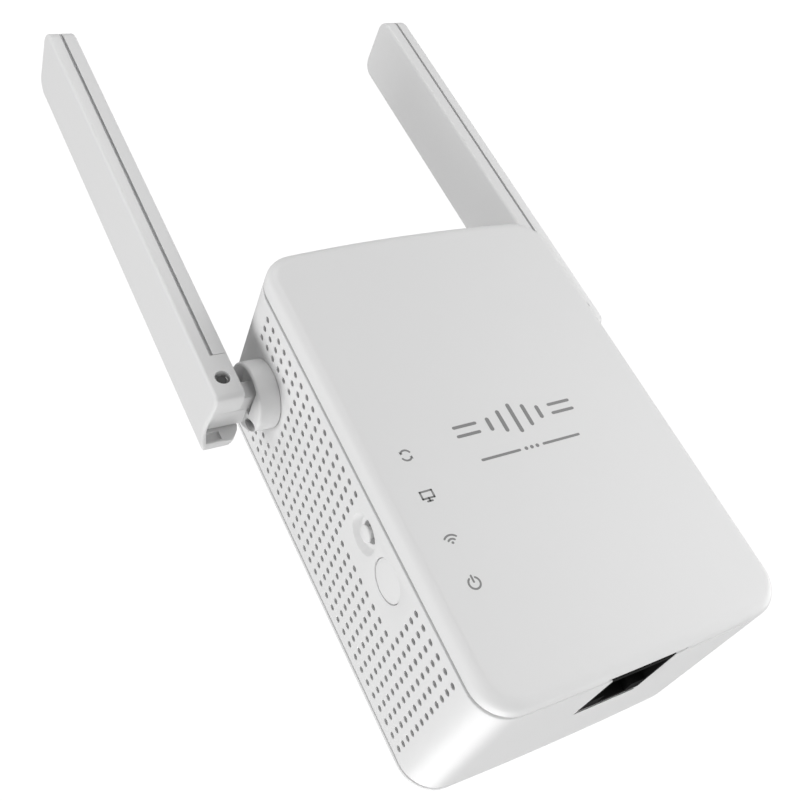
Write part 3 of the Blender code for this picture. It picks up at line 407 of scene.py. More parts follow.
def front_cover():
    """The front shell: a filleted face, a thin wall and the lip that closes the seam from inside."""
    face_ring = FRONT_EDGE_R + 0.4
    profile = [(face_ring, FRONT_Y)] + fillet(0.0, FRONT_EDGE_R, FRONT_Y, FRONT_Y + FRONT_EDGE_R, 8)
    seam_y = COVER_BACK_Y - SEAM_STEP
    profile += [(0.0, seam_y - SEAM_EDGE_R - 0.3), (0.0, seam_y - SEAM_EDGE_R), (0.07, seam_y - 0.07),
                (SEAM_EDGE_R, seam_y), (SEAM_STEP_DEPTH, seam_y), (SEAM_STEP_DEPTH, COVER_BACK_Y)]
    profile += [(LIP_INSET, COVER_BACK_Y), (LIP_INSET, COVER_BACK_Y + LIP_REACH),
                (LIP_INSET + LIP_WALL, COVER_BACK_Y + LIP_REACH), (LIP_INSET + LIP_WALL, FRONT_Y + WALL)]
    bm = bmesh.new()
    tube_of(bm, [case_ring(bm, inset, y) for inset, y in profile])
    jack_low, jack_high = corners("network_jack")
    room = block((jack_low.x - SOCKET_ROOM, FRONT_Y + WALL + 0.5, -HALF_H - PAST),
                 (jack_high.x + SOCKET_ROOM, 0.0, -HALF_H + SOCKET_ROOM_TALL))
    finish_piece(shape(bm, ("cut", room)), "front_shell", "case_white", node="front_cover")


def vent_centres(side):
    """Centres of the vent holes on one side, leaving out those under the hub and round the buttons."""
    plain = [HUB_PLAIN] + ([BUTTON_PLAIN] if side < 0 else [])
    for row in range(VENT_ROWS):
        for column in range(VENT_COLUMNS):
            if not any(row in rows and column in columns for rows, columns in plain):
                yield (VENT_FIRST_Y + column * VENT_PITCH, VENT_FIRST_Z - row * VENT_PITCH)


def circle(centre, radius, sides):
    """Points on a circle in two dimensions."""
    return [(centre[0] + radius * math.cos(2 * math.pi * i / sides),
             centre[1] + radius * math.sin(2 * math.pi * i / sides)) for i in range(sides)]


def side_x(side, y, depth=0.0):
    """X of the flat side wall at y, depth millimetres inside its outer face."""
    return side * (abs(drafted(HALF_W, y, 0.0).x) - depth)


def side_wall(bm, side, outer, inner):
    """A flat side wall with its holes. outer and inner hold the four corner vertices of each skin."""
    holes = [(centre, *VENT_HOLE) for centre in vent_centres(side)]
    hub_low, hub_high = corners("left_swivel")
    hub = ((hub_low.y + hub_high.y) / 2, (hub_low.z + hub_high.z) / 2)
    holes.append((hub, *HUB_HOLE))
    if side < 0:
        for button, hole in (("reset_button", DISH_HOLE), ("wps_button", WPS_HOLE)):
            low, high = corners(button)
            holes.append((((low.y + high.y) / 2, (low.z + high.z) / 2), *hole))
    # owner says which hole a point belongs to: a triangle with one owner would close its hole
    points, edges, owner = [], [], []
    for vert in outer:
        points.append(Vector((vert.co.y, vert.co.z)))
        owner.append(None)
    edges += [(0, 1), (1, 2), (2, 3), (3, 0)]
    for index, (centre, sides, profile) in enumerate(holes):
        first = len(points)
        for y, z in circle(centre, profile[0][0], sides):
            points.append(Vector((y, z)))
            owner.append(index)
        edges += [(first + i, first + (i + 1) % sides) for i in range(sides)]
    _, _, triangles, origins, _, _ = delaunay_2d_cdt(points, edges, [], 0, 1e-6, True)
    origin = [ids[0] for ids in origins]
    outer_verts = dict(enumerate(outer))
    inner_verts = dict(enumerate(inner))
    first = len(outer)
    for centre, sides, profile in holes:
        rings = [ring(bm, [(side_x(side, y, depth), y, z) for y, z in circle(centre, radius, sides)])
                 for radius, depth in profile]
        for a, b in zip(rings, rings[1:]):
            bridge(bm, a, b)
        for i in range(sides):
            outer_verts[first + i] = rings[0][i]
            inner_verts[first + i] = rings[-1][i]
        first += sides
    for triangle in triangles:
        a, b, c = (origin[i] for i in triangle)
        if owner[a] is not None and owner[a] == owner[b] == owner[c]:
            continue
        bm.faces.new((outer_verts[a], outer_verts[b], outer_verts[c]))
        bm.faces.new((inner_verts[c], inner_verts[b], inner_verts[a]))


def mid_frame():
    """The long side shell, with both perforated side walls and the notch for the network socket."""
    bm = bmesh.new()
    front, back = FRAME_FRONT_Y, FRAME_BACK_Y
    edge = SEAM_EDGE_R
    seam = front + SEAM_STEP
    profile = [(SEAM_STEP_DEPTH, front), (SEAM_STEP_DEPTH, seam), (edge, seam), (0.07, seam + 0.07),
               (0.0, seam + edge), (0.0, seam + edge + 0.3), (0.0, back - edge - 0.3), (0.0, back - edge),
               (0.07, back - 0.07), (edge, back), (WALL, back), (WALL, front)]
    # the profile's steps that run along the outer and the inner skin
    outside, inside = 5, 10
    rings = [case_ring(bm, inset, y) for inset, y in profile]
    flats = tuple(FLAT_EDGES.values())
    for index, (a, b) in enumerate(zip(rings, rings[1:] + rings[:1])):
        bridge(bm, a, b, flats if index in (outside, inside) else ())
    for side, flat in FLAT_EDGES.items():
        nxt = (flat + 1) % OUTLINE_COUNT
        outer = (rings[outside][flat], rings[outside][nxt], rings[outside + 1][nxt],
                 rings[outside + 1][flat])
        inner = (rings[inside + 1][flat], rings[inside + 1][nxt], rings[inside][nxt],
                 rings[inside][flat])
        side_wall(bm, side, outer, inner)
    half, rear = NOTCH_HALF, NOTCH_REAR
    bottom = -HALF_H - 2.0
    notch = block((-half, front - 2.0, bottom), (half, rear, -HALF_H + NOTCH_TALL))
    lip = block((-half, rear - 1.0, -NOTCH_LIP_HALF), (half, rear + 1.0, NOTCH_LIP_HALF))
    lean = Matrix.Rotation(math.radians(NOTCH_LIP_LEAN), 4, "X")
    place = Matrix.Translation((0.0, rear, -HALF_H - ARCH_BOTTOM)) @ lean
    bmesh.ops.transform(lip, matrix=place @ Matrix.Translation((0.0, -rear, 0.0)), verts=lip.verts)
    finish_piece(shape(bm, ("cut", notch), ("cut", lip)), "side_shell", "case_white", node="mid_frame")


BACK_PLATE = 3.0
PLUG_OPENING = (12.3, 8.3)
LABEL_X = 21.0
LABEL_Z = (-34.5, -2.5)
LABEL_DEPTH = 0.35
# (place along Y, radius), from inside outwards
SCREW_WELL = [(-4.0, 1.5), (-1.6, 1.5), (-1.599, 2.9), (-0.25, 2.9), (0.05, 3.2), (PAST, 3.2)]


def back_cover():
    """The back shell: a filleted plate with the plug opening, screw wells and a plain label recess."""
    seam_y = BACK_FRONT_Y + BACK_SEAM_STEP
    profile = [(LIP_INSET, -BACK_PLATE), (LIP_INSET, BACK_FRONT_Y), (SEAM_STEP_DEPTH, BACK_FRONT_Y),
               (SEAM_STEP_DEPTH, seam_y), (SEAM_EDGE_R, seam_y), (0.07, seam_y + 0.07),
               (0.0, seam_y + SEAM_EDGE_R)]
    profile += [(BACK_EDGE_R * (1 - math.cos(a)), BACK_EDGE_R * (math.sin(a) - 1))
                for a in (math.pi / 8 * k for k in range(5))]
    profile += [(BACK_EDGE_R + 0.4, 0.0)]
    bm = bmesh.new()
    tube_of(bm, [case_ring(bm, inset, y) for inset, y in profile])
    plug_low, plug_high = corners("plug_insert")
    half_x, half_z = PLUG_OPENING
    middle_z = (plug_low.z + plug_high.z) / 2
    opening = block((-half_x, -BACK_PLATE - PAST, middle_z - half_z), (half_x, PAST, middle_z + half_z))
    steps = [("cut", opening)]
    for corner in CORNERS:
        low, high = corners(f"case_screw_{corner}")
        centre = ((low.x + high.x) / 2, 0.0, (low.z + high.z) / 2)
        steps.append(("cut", turned("Y", centre, SCREW_WELL)))
    label_recess = block((-LABEL_X, -LABEL_DEPTH, LABEL_Z[0]), (LABEL_X, PAST, LABEL_Z[1]), 0.3, 2)
    steps.append(("cut", label_recess))
    finish_piece(shape(bm, *steps), "back_shell", "case_white", node="back_cover")


# ---------------------------------------------------------------- prints on the front
INK_DEPTH = 0.03


def stroke(bm, points, width):
    """A line of ink with round ends through (x, z) points, just proud of the front face."""
    half = width / 2
    line = [Vector(p) for p in points]
    left, right = [], []
    for i, p in enumerate(line):
        way = (line[min(i + 1, len(line) - 1)] - line[max(i - 1, 0)]).normalized()
        across = Vector((-way.y, way.x)) * half
        left.append(p + across)
        right.append(p - across)

    def cap(centre, start):
        """The half circle round centre that begins beside start."""
        a0 = math.atan2(start.y - centre.y, start.x - centre.x)
        return [centre + Vector((math.cos(a0 - math.pi * k / 6), math.sin(a0 - math.pi * k / 6))) * half
                for k in range(1, 6)]

    loop = left + cap(line[-1], left[-1]) + right[::-1] + cap(line[0], right[0])
    prism(bm, loop)


def prism(bm, loop):
    """A flat shape in X and Z as a thin closed solid, half sunk in the front face."""
    low = ring(bm, [(p[0], FRONT_Y - INK_DEPTH / 2, p[1]) for p in loop])
    high = ring(bm, [(p[0], FRONT_Y + INK_DEPTH / 2, p[1]) for p in loop])
    tube_of(bm, [low, high])


def arc(centre, radius, start, end, steps=20):
    """Points along an arc in X and Z, from one angle to another in degrees."""
    return [(centre[0] + radius * math.cos(math.radians(start + (end - start) * k / steps)),
             centre[1] + radius * math.sin(math.radians(start + (end - start) * k / steps)))
            for k in range(steps + 1)]


def disc(bm, centre, radius):
    """A round dot of ink."""
    prism(bm, arc(centre, radius, 0, 345, 23))


ICON_LINE = 0.34


def arrows_icon(bm, x, z):
    """Two arrows that chase each other round a circle."""
    arrow_r, barb = 0.98, 0.37
    for turn in (0, 180):
        stroke(bm, arc((x, z), arrow_r, turn + 28, turn + 140), ICON_LINE)
        tip = arc((x, z), arrow_r, turn + 165, turn + 165, 1)[0]
        inside = arc((x, z), arrow_r - barb, turn + 138, turn + 138, 1)[0]
        outside = arc((x, z), arrow_r + barb, turn + 138, turn + 138, 1)[0]
        prism(bm, [inside, outside, tip])


def screen_icon(bm, x, z):
    """A screen on a stand."""
    half_w, low_z, high_z = 1.1, z - 0.35, z + 0.95
    foot_half, foot_z = 0.45, z - 0.9
    frame_line = [(x - half_w, low_z), (x - half_w, high_z), (x + half_w, high_z), (x + half_w, low_z)]
    for a, b in zip(frame_line, frame_line[1:] + frame_line[:1]):
        stroke(bm, [a, b], ICON_LINE)
    stroke(bm, [(x, low_z), (x, foot_z)], ICON_LINE)
    stroke(bm, [(x - foot_half, foot_z), (x + foot_half, foot_z)], ICON_LINE)


def radio_icon(bm, x, z):
    """Two arcs over a dot."""
    for radius in (0.85, 1.55):
        stroke(bm, arc((x, z - 0.95), radius, 45, 135), ICON_LINE)
    disc(bm, (x, z - 0.78), 0.24)


def power_icon(bm, x, z):
    """An open ring with a bar in its gap."""
    stroke(bm, arc((x, z - 0.1), 1.02, 122, 418), ICON_LINE)
    stroke(bm, [(x, z + 0.1), (x, z + 1.2)], ICON_LINE)


def indicator_icons():
    """Refresh arrows, screen, radio arcs and power sign, one in front of each indicator."""
    bm = bmesh.new()
    for index, icon in enumerate((arrows_icon, screen_icon, radio_icon, power_icon)):
        low, high = corners(f"led_{index + 1}")
        icon(bm, (low.x + high.x) / 2, (low.z + high.z) / 2)
    piece(bm, "indicator_prints", "plastic_black", finish=INK)


# place and height of each bar
EMBLEM_BARS = ((-5.4, 2.0), (-2.7, 3.8), (0.0, 5.4), (2.7, 3.8), (5.4, 2.0))
EMBLEM_BARS_Z = 1.6
EMBLEM_RULE_X = (8.0, 12.4)
EMBLEM_BASE_X = (2.6, 10.4)
EMBLEM_BASE_Z = -4.6


def front_emblem():
    """A plain generic mark: five upright bars between two pairs of rules, over a dotted rule."""
    bm = bmesh.new()
    for x, tall in EMBLEM_BARS:
        stroke(bm, [(x, EMBLEM_BARS_Z - tall / 2), (x, EMBLEM_BARS_Z + tall / 2)], 0.8)
    for side in (-1, 1):
        for rise in (-0.9, 0.9):
            stroke(bm, [(side * x, EMBLEM_BARS_Z + rise) for x in EMBLEM_RULE_X], 0.6)
        stroke(bm, [(side * x, EMBLEM_BASE_Z) for x in EMBLEM_BASE_X], 0.5)
    for x in (-1.2, 0.0, 1.2):
        disc(bm, (x, EMBLEM_BASE_Z), 0.36)
    piece(bm, "front_emblem", "plastic_black", finish=INK)


# ---------------------------------------------------------------- buttons
def round_button(name, node, body, radius, start_x, end_x, crown, stem_r, flange_r, flange_x):
    """A round button on the left side, from its crowned face inwards.

    The face starts at start_x and stands on a stem. The flange runs from flange_x to end_x, behind the
    wall, and stops the button from falling out.
    """
    low, high = corners(node)
    centre = (0.0, (low.y + high.y) / 2, (low.z + high.z) / 2)
    profile = []
    for step in range(1, 7):
        share = step / 6
        profile.append((start_x + crown * share ** 2, radius * 0.94 * share))
    edge_x = start_x + crown
    profile += [(edge_x + 0.05, radius * 0.975), (edge_x + 0.16, radius), (edge_x + 0.3, radius),
                (edge_x + 0.31, stem_r), (flange_x, stem_r), (flange_x, flange_r), (end_x, flange_r)]
    bm = turned("X", centre, profile, 48)
    piece(bm, name, "button_white", body, node)


def buttons():
    """The small domed reset button in its dish, and the flush WPS button."""
    low, high = corners("reset_button")
    round_button("reset_cap", "reset_button", "reset_key", radius=1.6, start_x=low.x - 0.33, end_x=high.x,
                 crown=0.2, stem_r=1.0, flange_r=2.6, flange_x=-28.3)
    low, high = corners("wps_button")
    round_button("wps_cap", "wps_button", "wps_key", radius=3.85, start_x=low.x, end_x=high.x,
                 crown=0.12, stem_r=3.84, flange_r=4.6, flange_x=-28.95)


# ---------------------------------------------------------------- network socket
PORT_HALF = 5.9
PORT_Y = (-33.0, -25.0)
LATCH_HALF = 3.0
LATCH_REAR = -22.4
PORT_TOP_Z = -30.0
COLLAR_GAP = 0.06
COLLAR_TOP_Z = -40.0
# the housing keeps clear of the front cover's lower wall
COVER_ROOM_X = 8.2
COVER_ROOM_Z = -42.5
MOUTH_INSET = 0.12
CONTACTS = 8
CONTACT_PITCH = 1.016
CONTACT_R = 0.2


def network_jack():
    """The socket's housing, with its port and latch channel, and a collar that fills the notch."""
    low, high = corners("network_jack")
    mouth_z = -HALF_H - ARCH_BOTTOM + MOUTH_INSET
    below_z = mouth_z - PAST
    front_y = COVER_BACK_Y + 0.05
    bm = block(low, high, 0.25, 2)
    collar = block((COLLAR_GAP - NOTCH_HALF, front_y, mouth_z),
                   (NOTCH_HALF - COLLAR_GAP, NOTCH_REAR - COLLAR_GAP, COLLAR_TOP_Z))
    port = block((-PORT_HALF, PORT_Y[0], below_z), (PORT_HALF, PORT_Y[1], PORT_TOP_Z))
    latch = block((-LATCH_HALF, PORT_Y[1] - PAST, below_z), (LATCH_HALF, LATCH_REAR, PORT_TOP_Z))
    room_for_cover = block((-COVER_ROOM_X, FRONT_Y, below_z), (COVER_ROOM_X, front_y, COVER_ROOM_Z))
    housing = shape(bm, ("join", collar), ("cut", port), ("cut", latch), ("cut", room_for_cover))
    finish_piece(housing, "socket_housing", "plastic_black", node="network_jack", finish=SOCKET_BLACK)
    jack_contacts(mouth_z)


def jack_contacts(mouth_z):
    """Eight spring wires side by side, held by a bar at their inner end."""
    bar_low, bar_high = corners("jack_contacts")
    bm = bmesh.new()
    for index in range(CONTACTS):
        x = (index - (CONTACTS - 1) / 2) * CONTACT_PITCH
        path = [(bar_low.y + 2.9, mouth_z + 0.9), (bar_low.y + 2.8, mouth_z + 1.6),
                (bar_low.y + 2.4, mouth_z + 5.0), (bar_low.y + 2.1, bar_high.z - 1.4),
                (bar_low.y + 2.1, bar_high.z)]
        rings = []
        for y, z in path:
            rings.append(ring(bm, [(x + CONTACT_R * math.cos(a), y + CONTACT_R * math.sin(a), z)
                                   for a in (math.pi / 4 * k for k in range(8))]))
        tube_of(bm, rings)
    comb = block((bar_low.x, bar_low.y + 1.2, bar_high.z - 1.2), (bar_high.x, bar_high.y, bar_high.z))
    spare = bpy.data.meshes.new("comb")
    comb.to_mesh(spare)
    comb.free()
    bm.from_mesh(spare)
    bpy.data.meshes.remove(spare)
    piece(bm, "socket_contacts", "contact_gold", node="jack_contacts")


# ---------------------------------------------------------------- back: screws and plug
def screw_heads():
    """Four domed screw heads with a cross recess."""
    for corner in CORNERS:
        name = f"case_screw_{corner}"
        low, high = corners(name)
        centre = ((low.x + high.x) / 2, 0.0, (low.z + high.z) / 2)
        radius = (high.x - low.x) / 2
        top = high.y
        head = turned("Y", centre, [(low.y, 0.6), (low.y + 1.0, 1.0), (top - 1.0, 1.0), (top - 1.0, radius),
                                    (top - 0.55, radius), (top - 0.25, radius * 0.9),
                                    (top - 0.08, radius * 0.68), (top, radius * 0.35)], 32)
        steps = []
        for wide, tall in ((1.5, 0.32), (0.32, 1.5)):
            steps.append(("cut", block((centre[0] - wide, top - 0.55, centre[2] - tall),
                                       (centre[0] + wide, top + 1.0, centre[2] + tall))))
        finish_piece(shape(head, *steps), f"{name}_head", "steel", node=name)


PLUG_HALF = (12.0, 8.0)
PLUG_FLANGE_Y = (-5.0, -3.3)
SLOT_GAP = 0.3
SLOT_MOUTH_GAP = 0.9
SLOT_MOUTH_Y = -0.45
BLADE_TIP = 1.6
BLADE_BEVEL = 0.22
BLADE_HOLE_R = 1.6


def mains_plug():
    """The moulding that fills the back cover's opening, with a slot for each contact blade."""
    low, high = corners("plug_insert")
    middle = (low.z + high.z) / 2
    half_x, half_z = PLUG_HALF
    bm = block((-half_x, low.y, middle - half_z), (half_x, high.y, middle + half_z), 0.35, 3)
    steps = [("join", block((low.x, PLUG_FLANGE_Y[0], low.z), (high.x, PLUG_FLANGE_Y[1], high.z), 0.2, 2))]
    for side in ("left", "right"):
        blade_low, blade_high = corners(f"{side}_plug_blade")
        for gap, from_y in ((SLOT_GAP, low.y - PAST), (SLOT_MOUTH_GAP, SLOT_MOUTH_Y)):
            steps.append(("cut", block((blade_low.x - gap, from_y, blade_low.z - gap),
                                       (blade_high.x + gap, PAST, blade_high.z + gap))))
    finish_piece(shape(bm, *steps), "plug_moulding", "plug_white", node="plug_insert")
    for side in ("left", "right"):
        plug_blade(side)


def plug_blade(side):
    """A flat contact blade with bevelled edges, cut corners at its end and a countersunk hole."""
    node = f"{side}_plug_blade"
    low, high = corners(node)
    bm = bmesh.new()
    tip = BLADE_TIP
    outline_yz = [(low.y, low.z), (high.y - tip, low.z), (high.y - 0.3, low.z + tip - 0.3),
                  (high.y, low.z + tip + 0.3), (high.y, high.z - tip - 0.3),
                  (high.y - 0.3, high.z - tip + 0.3), (high.y - tip, high.z), (low.y, high.z)]
    rings = []
    middle_z = (low.z + high.z) / 2
    for x, inset in ((low.x, BLADE_BEVEL), (low.x + BLADE_BEVEL, 0.0), (high.x - BLADE_BEVEL, 0.0),
                     (high.x, BLADE_BEVEL)):
        shrink = 1 - inset / ((high.z - low.z) / 2)
        rings.append(ring(bm, [(x, min(y, high.y - inset), middle_z + (z - middle_z) * shrink)
                               for y, z in outline_yz]))
    tube_of(bm, rings)
    hole = turned("X", ((low.x + high.x) / 2, 12.0, middle_z),
                  [(-2.0, 2.85), (-0.55, BLADE_HOLE_R), (0.55, BLADE_HOLE_R), (2.0, 2.85)], 32)
    finish_piece(shape(bm, ("cut", hole)), f"{side}_contact_blade", "nickel_brass", node=node)


# ---------------------------------------------------------------- antennas
BLADE_TIP_R = 3.2
BLADE_EDGE_R = 0.55
SIDE_WALL = 1.4
TIP_WALL = 1.8
FACE_WALL = 1.1
FOOT_FACE_WALL = 0.7
# where the shell and its cover meet, and half the gap there and along the front edge
SPLIT_X = 41.3
SPLIT_GAP = 0.15
GROOVE_GAP = 0.32
GROOVE_DEPTH = 0.9
COVER_FOOT_Z = 34.5
COVER_FOOT_GAP = 0.12
BELOW_FOOT_Z = 20.0
FOOT_ROOM_Z = 27.3
NECK_WAY_TOP_Z = 27.8
NECK_WAY_HALF = 3.1
REAR_POCKET_X = (40.0, 42.9)
REAR_POCKET_Z = (25.5, 27.4)
# share of the width from the front edge, and height over the lowest point
FOOT_LINE = (
    (0.0, 1.5), (0.01, 1.05), (0.025, 0.7), (0.045, 0.5), (0.07, 0.4), (0.14, 0.36), (0.225, 0.45),
    (0.34, 0.65), (0.41, 0.83), (0.475, 1.03), (0.54, 1.22), (0.61, 1.35), (0.67, 1.42), (0.72, 1.4),
    (0.78, 1.2), (0.845, 0.8), (0.9, 0.35), (0.945, 0.08), (1.0, 0.0),
)
# distance out from the casing's middle, and height, of the stop on the foot's rear wall
STOP_LINE = ((39.6, 24.95), (38.3, 24.9), (37.5, 25.5), (36.6, 26.6), (36.15, 27.6), (36.0, 29.0),
             (39.6, 29.0))

HUB_Y = -18.0
HUB_END_X = 35.2
HUB_GAP = 0.06
HUB_ROUND_R = 0.5
STEM_R = 4.4
CLIP_GROOVE_R = 3.6
RECESS_DEPTH = 2.2
# the recess reaches this far below the base's axis, and less far in its rear part
RECESS_LOW = 2.9
RECESS_REAR_LOW = 0.9
RECESS_REAR_Y = 1.6
DRAIN_R = 1.2
DRAIN_WAY = (0.55, 0.45, 0.7)
NECK_HALF_Y = 2.6
NECK_HALF_Z = 1.8
WEB_TOP = 0.4
KNUCKLE_HALF = 5.7
KNUCKLE_R = 1.85
PIN_BORE_R = 1.05
# (distance from the blade's middle, radius)
PIN_HOLE = [(-9.0, 1.6), (-7.5, 1.4), (7.5, 1.4), (9.0, 1.6)]
CABLE_R = 1.8
CABLE_END_R = 1.1


def slab(side, x, y, z, edge=0.0):
    """A block on one side of the casing: x holds two distances out from its middle."""
    low, high = sorted(side * distance for distance in x)
    return block((low, y[0], z[0]), (high, y[1], z[1]), edge)


def hinge_axis(hand):
    """How far out, and how high, an antenna's hinge pin lies."""
    low, high = corners(f"{hand}_hinge_pin")
    return abs(low.x + high.x) / 2, (low.z + high.z) / 2


def blade_outline(low, high, inset):
    """An antenna's outline in Y and Z, inset from its edge: round tip corners, a wavy foot."""
    radius = BLADE_TIP_R - inset
    low_y, high_y, tip_z = low.y + inset, high.y - inset, high.z - inset
    points = []
    for centre_y, start in ((high_y - radius, 0.0), (low_y + radius, math.pi / 2)):
        for step in range(9):
            a = start + math.pi / 2 * step / 8
            points.append((centre_y + radius * math.cos(a), tip_z - radius + radius * math.sin(a)))
    for share, rise in FOOT_LINE:
        points.append((low_y + (high_y - low_y) * share, low.z + inset + rise))
    return points


def whole_blade(side, low, high):
    """A solid blade with rounded edges, before it's split into a shell and its cover."""
    near, far = sorted((abs(low.x), abs(high.x)))
    profile = [(near, BLADE_EDGE_R + 0.4), (near, BLADE_EDGE_R)]
    profile += [(near + BLADE_EDGE_R * (1 - math.cos(a)), BLADE_EDGE_R * (1 - math.sin(a)))
                for a in (math.pi / 8 * k for k in range(1, 5))]
    profile += [(near + far - x, inset) for x, inset in profile[::-1]]
    bm = bmesh.new()
    tube_of(bm, [ring(bm, [(side * x, y, z) for y, z in blade_outline(low, high, inset)])
                 for x, inset in profile])
    return bm


def foot_stop(side, low_y, high_y):
    """The thin stop that carries the foot's rear wall on towards the hub."""
    bm = bmesh.new()
    tube_of(bm, [ring(bm, [(side * x, y, z) for x, z in STOP_LINE]) for y in (low_y, high_y)])
    return bm


def antenna_blade(hand, side):
    """A blade's hollow shell, open at the foot for the hub's neck, and the cover on its inner face."""
    low, high = corners(f"{hand}_antenna_shell")
    near, far = sorted((abs(low.x), abs(high.x)))
    pin_x, pin_z = hinge_axis(hand)
    pin_hole = turned("Y", (side * pin_x, (low.y + high.y) / 2, pin_z), PIN_HOLE, 32)
    across = (low.y - PAST, high.y + PAST)
    front = (low.y - PAST, low.y + GROOVE_DEPTH)
    inside = (low.y + SIDE_WALL, high.y - SIDE_WALL)
    top = high.z + PAST
    over_cover = (COVER_FOOT_Z, top)
    foot_x = (near - PAST, far - FOOT_FACE_WALL)
    neck_way = slab(side, foot_x, (HUB_Y - NECK_WAY_HALF, inside[1]), (BELOW_FOOT_Z, NECK_WAY_TOP_Z))
    rear_pocket = slab(side, REAR_POCKET_X, (inside[1] - 0.2, inside[1] + 0.8), REAR_POCKET_Z)
    shell = shape(
        whole_blade(side, low, high),
        ("cut", slab(side, (near - PAST, SPLIT_X + SPLIT_GAP), across, over_cover)),
        ("cut", slab(side, (near - PAST, SPLIT_X + GROOVE_GAP), front, over_cover)),
        ("cut", slab(side, (near - PAST, far - FACE_WALL), inside, (COVER_FOOT_Z + 1.2, high.z - TIP_WALL))),
        ("cut", slab(side, foot_x, inside, (FOOT_ROOM_Z, COVER_FOOT_Z + 1.4))),
        ("cut", neck_way),
        ("cut", rear_pocket),
        ("join", foot_stop(side, inside[1], high.y - 0.25)),
        ("cut", pin_hole),
    )
    finish_piece(shell, f"{hand}_blade_shell", "case_white", f"{hand}_blade", f"{hand}_antenna_shell")
    cover = shape(
        whole_blade(side, low, high),
        ("cut", slab(side, (SPLIT_X - SPLIT_GAP, far + PAST), across, (BELOW_FOOT_Z, top))),
        ("cut", slab(side, (SPLIT_X - GROOVE_GAP, far + PAST), front, (BELOW_FOOT_Z, top))),
        ("cut", slab(side, (near - PAST, far), across, (BELOW_FOOT_Z, COVER_FOOT_Z + COVER_FOOT_GAP))),
        ("cut", slab(side, (near + FACE_WALL, far), inside, (COVER_FOOT_Z - 1.0, high.z - TIP_WALL))),
    )
    finish_piece(cover, f"{hand}_blade_cover", "case_white", f"{hand}_blade", f"{hand}_antenna_cover")


def hub_drum(side, radius, base_x, pin_z):
    """The round base, with the stem and the clip's groove on its inner end."""
    # (distance out from the casing's middle, radius)
    profile = [(26.4, 3.8), (26.7, STEM_R), (28.0, STEM_R), (28.001, CLIP_GROOVE_R), (28.9, CLIP_GROOVE_R),
               (28.901, STEM_R), (base_x, STEM_R), (base_x + 0.001, radius)]
    profile += [(HUB_END_X - HUB_ROUND_R * (1 - math.sin(a)), radius - HUB_ROUND_R * (1 - math.cos(a)))
                for a in (math.pi / 12 * k for k in range(7))]
    profile += [(HUB_END_X, 5.2)]
    return turned("X", (0.0, HUB_Y, pin_z), [(side * x, r) for x, r in profile], 72)


def hub_recess(side, pin_z):
    """The round recess in the base's end, without the low part and the low rear part, which stay solid."""
    recess = turned("X", (0.0, HUB_Y, pin_z),
                    [(side * (HUB_END_X - RECESS_DEPTH), 5.6), (side * (HUB_END_X - 0.15), 5.85),
                     (side * (HUB_END_X + 0.2), 5.95)], 64)
    ends = (HUB_END_X - 4, HUB_END_X + 2)
    low_part = slab(side, ends, (HUB_Y - 8, HUB_Y + 8), (pin_z - 8, pin_z - RECESS_LOW))
    rear_part = slab(side, ends, (HUB_Y + RECESS_REAR_Y, HUB_Y + 8), (pin_z - 8, pin_z - RECESS_REAR_LOW))
    return mesh_as_bmesh(shape(recess, ("cut", low_part), ("cut", rear_part)))


def hub_drain(side, pin_z):
    """The small hole that leads up and back into the base from the lower edge of its end."""
    drain = turned("Z", (0.0, 0.0, 0.0), [(-2.5, DRAIN_R), (4.5, DRAIN_R)], 32)
    inwards, back, up = DRAIN_WAY
    lean = Vector((-side * inwards, back, up)).to_track_quat("Z", "Y").to_matrix().to_4x4()
    mouth = Matrix.Translation((side * HUB_END_X, HUB_Y + 2.85, pin_z - 4.43))
    bmesh.ops.transform(drain, matrix=mouth @ lean, verts=drain.verts)
    return drain


def antenna_hub(hand, side):
    """An antenna's round base, with the neck and knuckle that carry the blade, and the cable's way."""
    low, high = corners(f"{hand}_antenna_shell")
    blade_y = (low.y + high.y) / 2
    swivel_low, swivel_high = corners(f"{hand}_swivel")
    pin_x, pin_z = hinge_axis(hand)
    radius = (swivel_high.z - swivel_low.z) / 2
    base_x = side_x(1, HUB_Y - radius) + HUB_GAP
    inner_x = HUB_END_X - 2.4
    neck = slab(side, (inner_x, pin_x), (HUB_Y - NECK_HALF_Y, HUB_Y + NECK_HALF_Y),
                (pin_z - NECK_HALF_Z, pin_z + NECK_HALF_Z), 0.25)
    web = slab(side, (inner_x, pin_x), (HUB_Y + 1.0, blade_y + KNUCKLE_HALF),
               (pin_z - KNUCKLE_R, pin_z - WEB_TOP), 0.1)
    hinge = (side * pin_x, blade_y, pin_z)
    knuckle = turned("Y", hinge, [(-KNUCKLE_HALF, 1.7), (-5.5, KNUCKLE_R), (5.5, KNUCKLE_R),
                                  (KNUCKLE_HALF, 1.7)], 32)
    bore = turned("Y", hinge, [(-9.0, PIN_BORE_R), (9.0, PIN_BORE_R)], 24)
    cable_line = [(25.4, CABLE_R), (HUB_END_X - 2.6, CABLE_R), (HUB_END_X - 2.59, CABLE_END_R),
                  (HUB_END_X + 0.6, CABLE_END_R)]
    cable_way = turned("X", (0.0, HUB_Y, pin_z), [(side * x, r) for x, r in cable_line], 24)
    hub = shape(hub_drum(side, radius, base_x, pin_z), ("cut", hub_recess(side, pin_z)),
                ("cut", hub_drain(side, pin_z)), ("join", neck), ("join", web), ("join", knuckle),
                ("cut", bore), ("cut", cable_way))
    finish_piece(hub, f"{hand}_hub", "case_white", f"{hand}_swivel_base", f"{hand}_swivel")


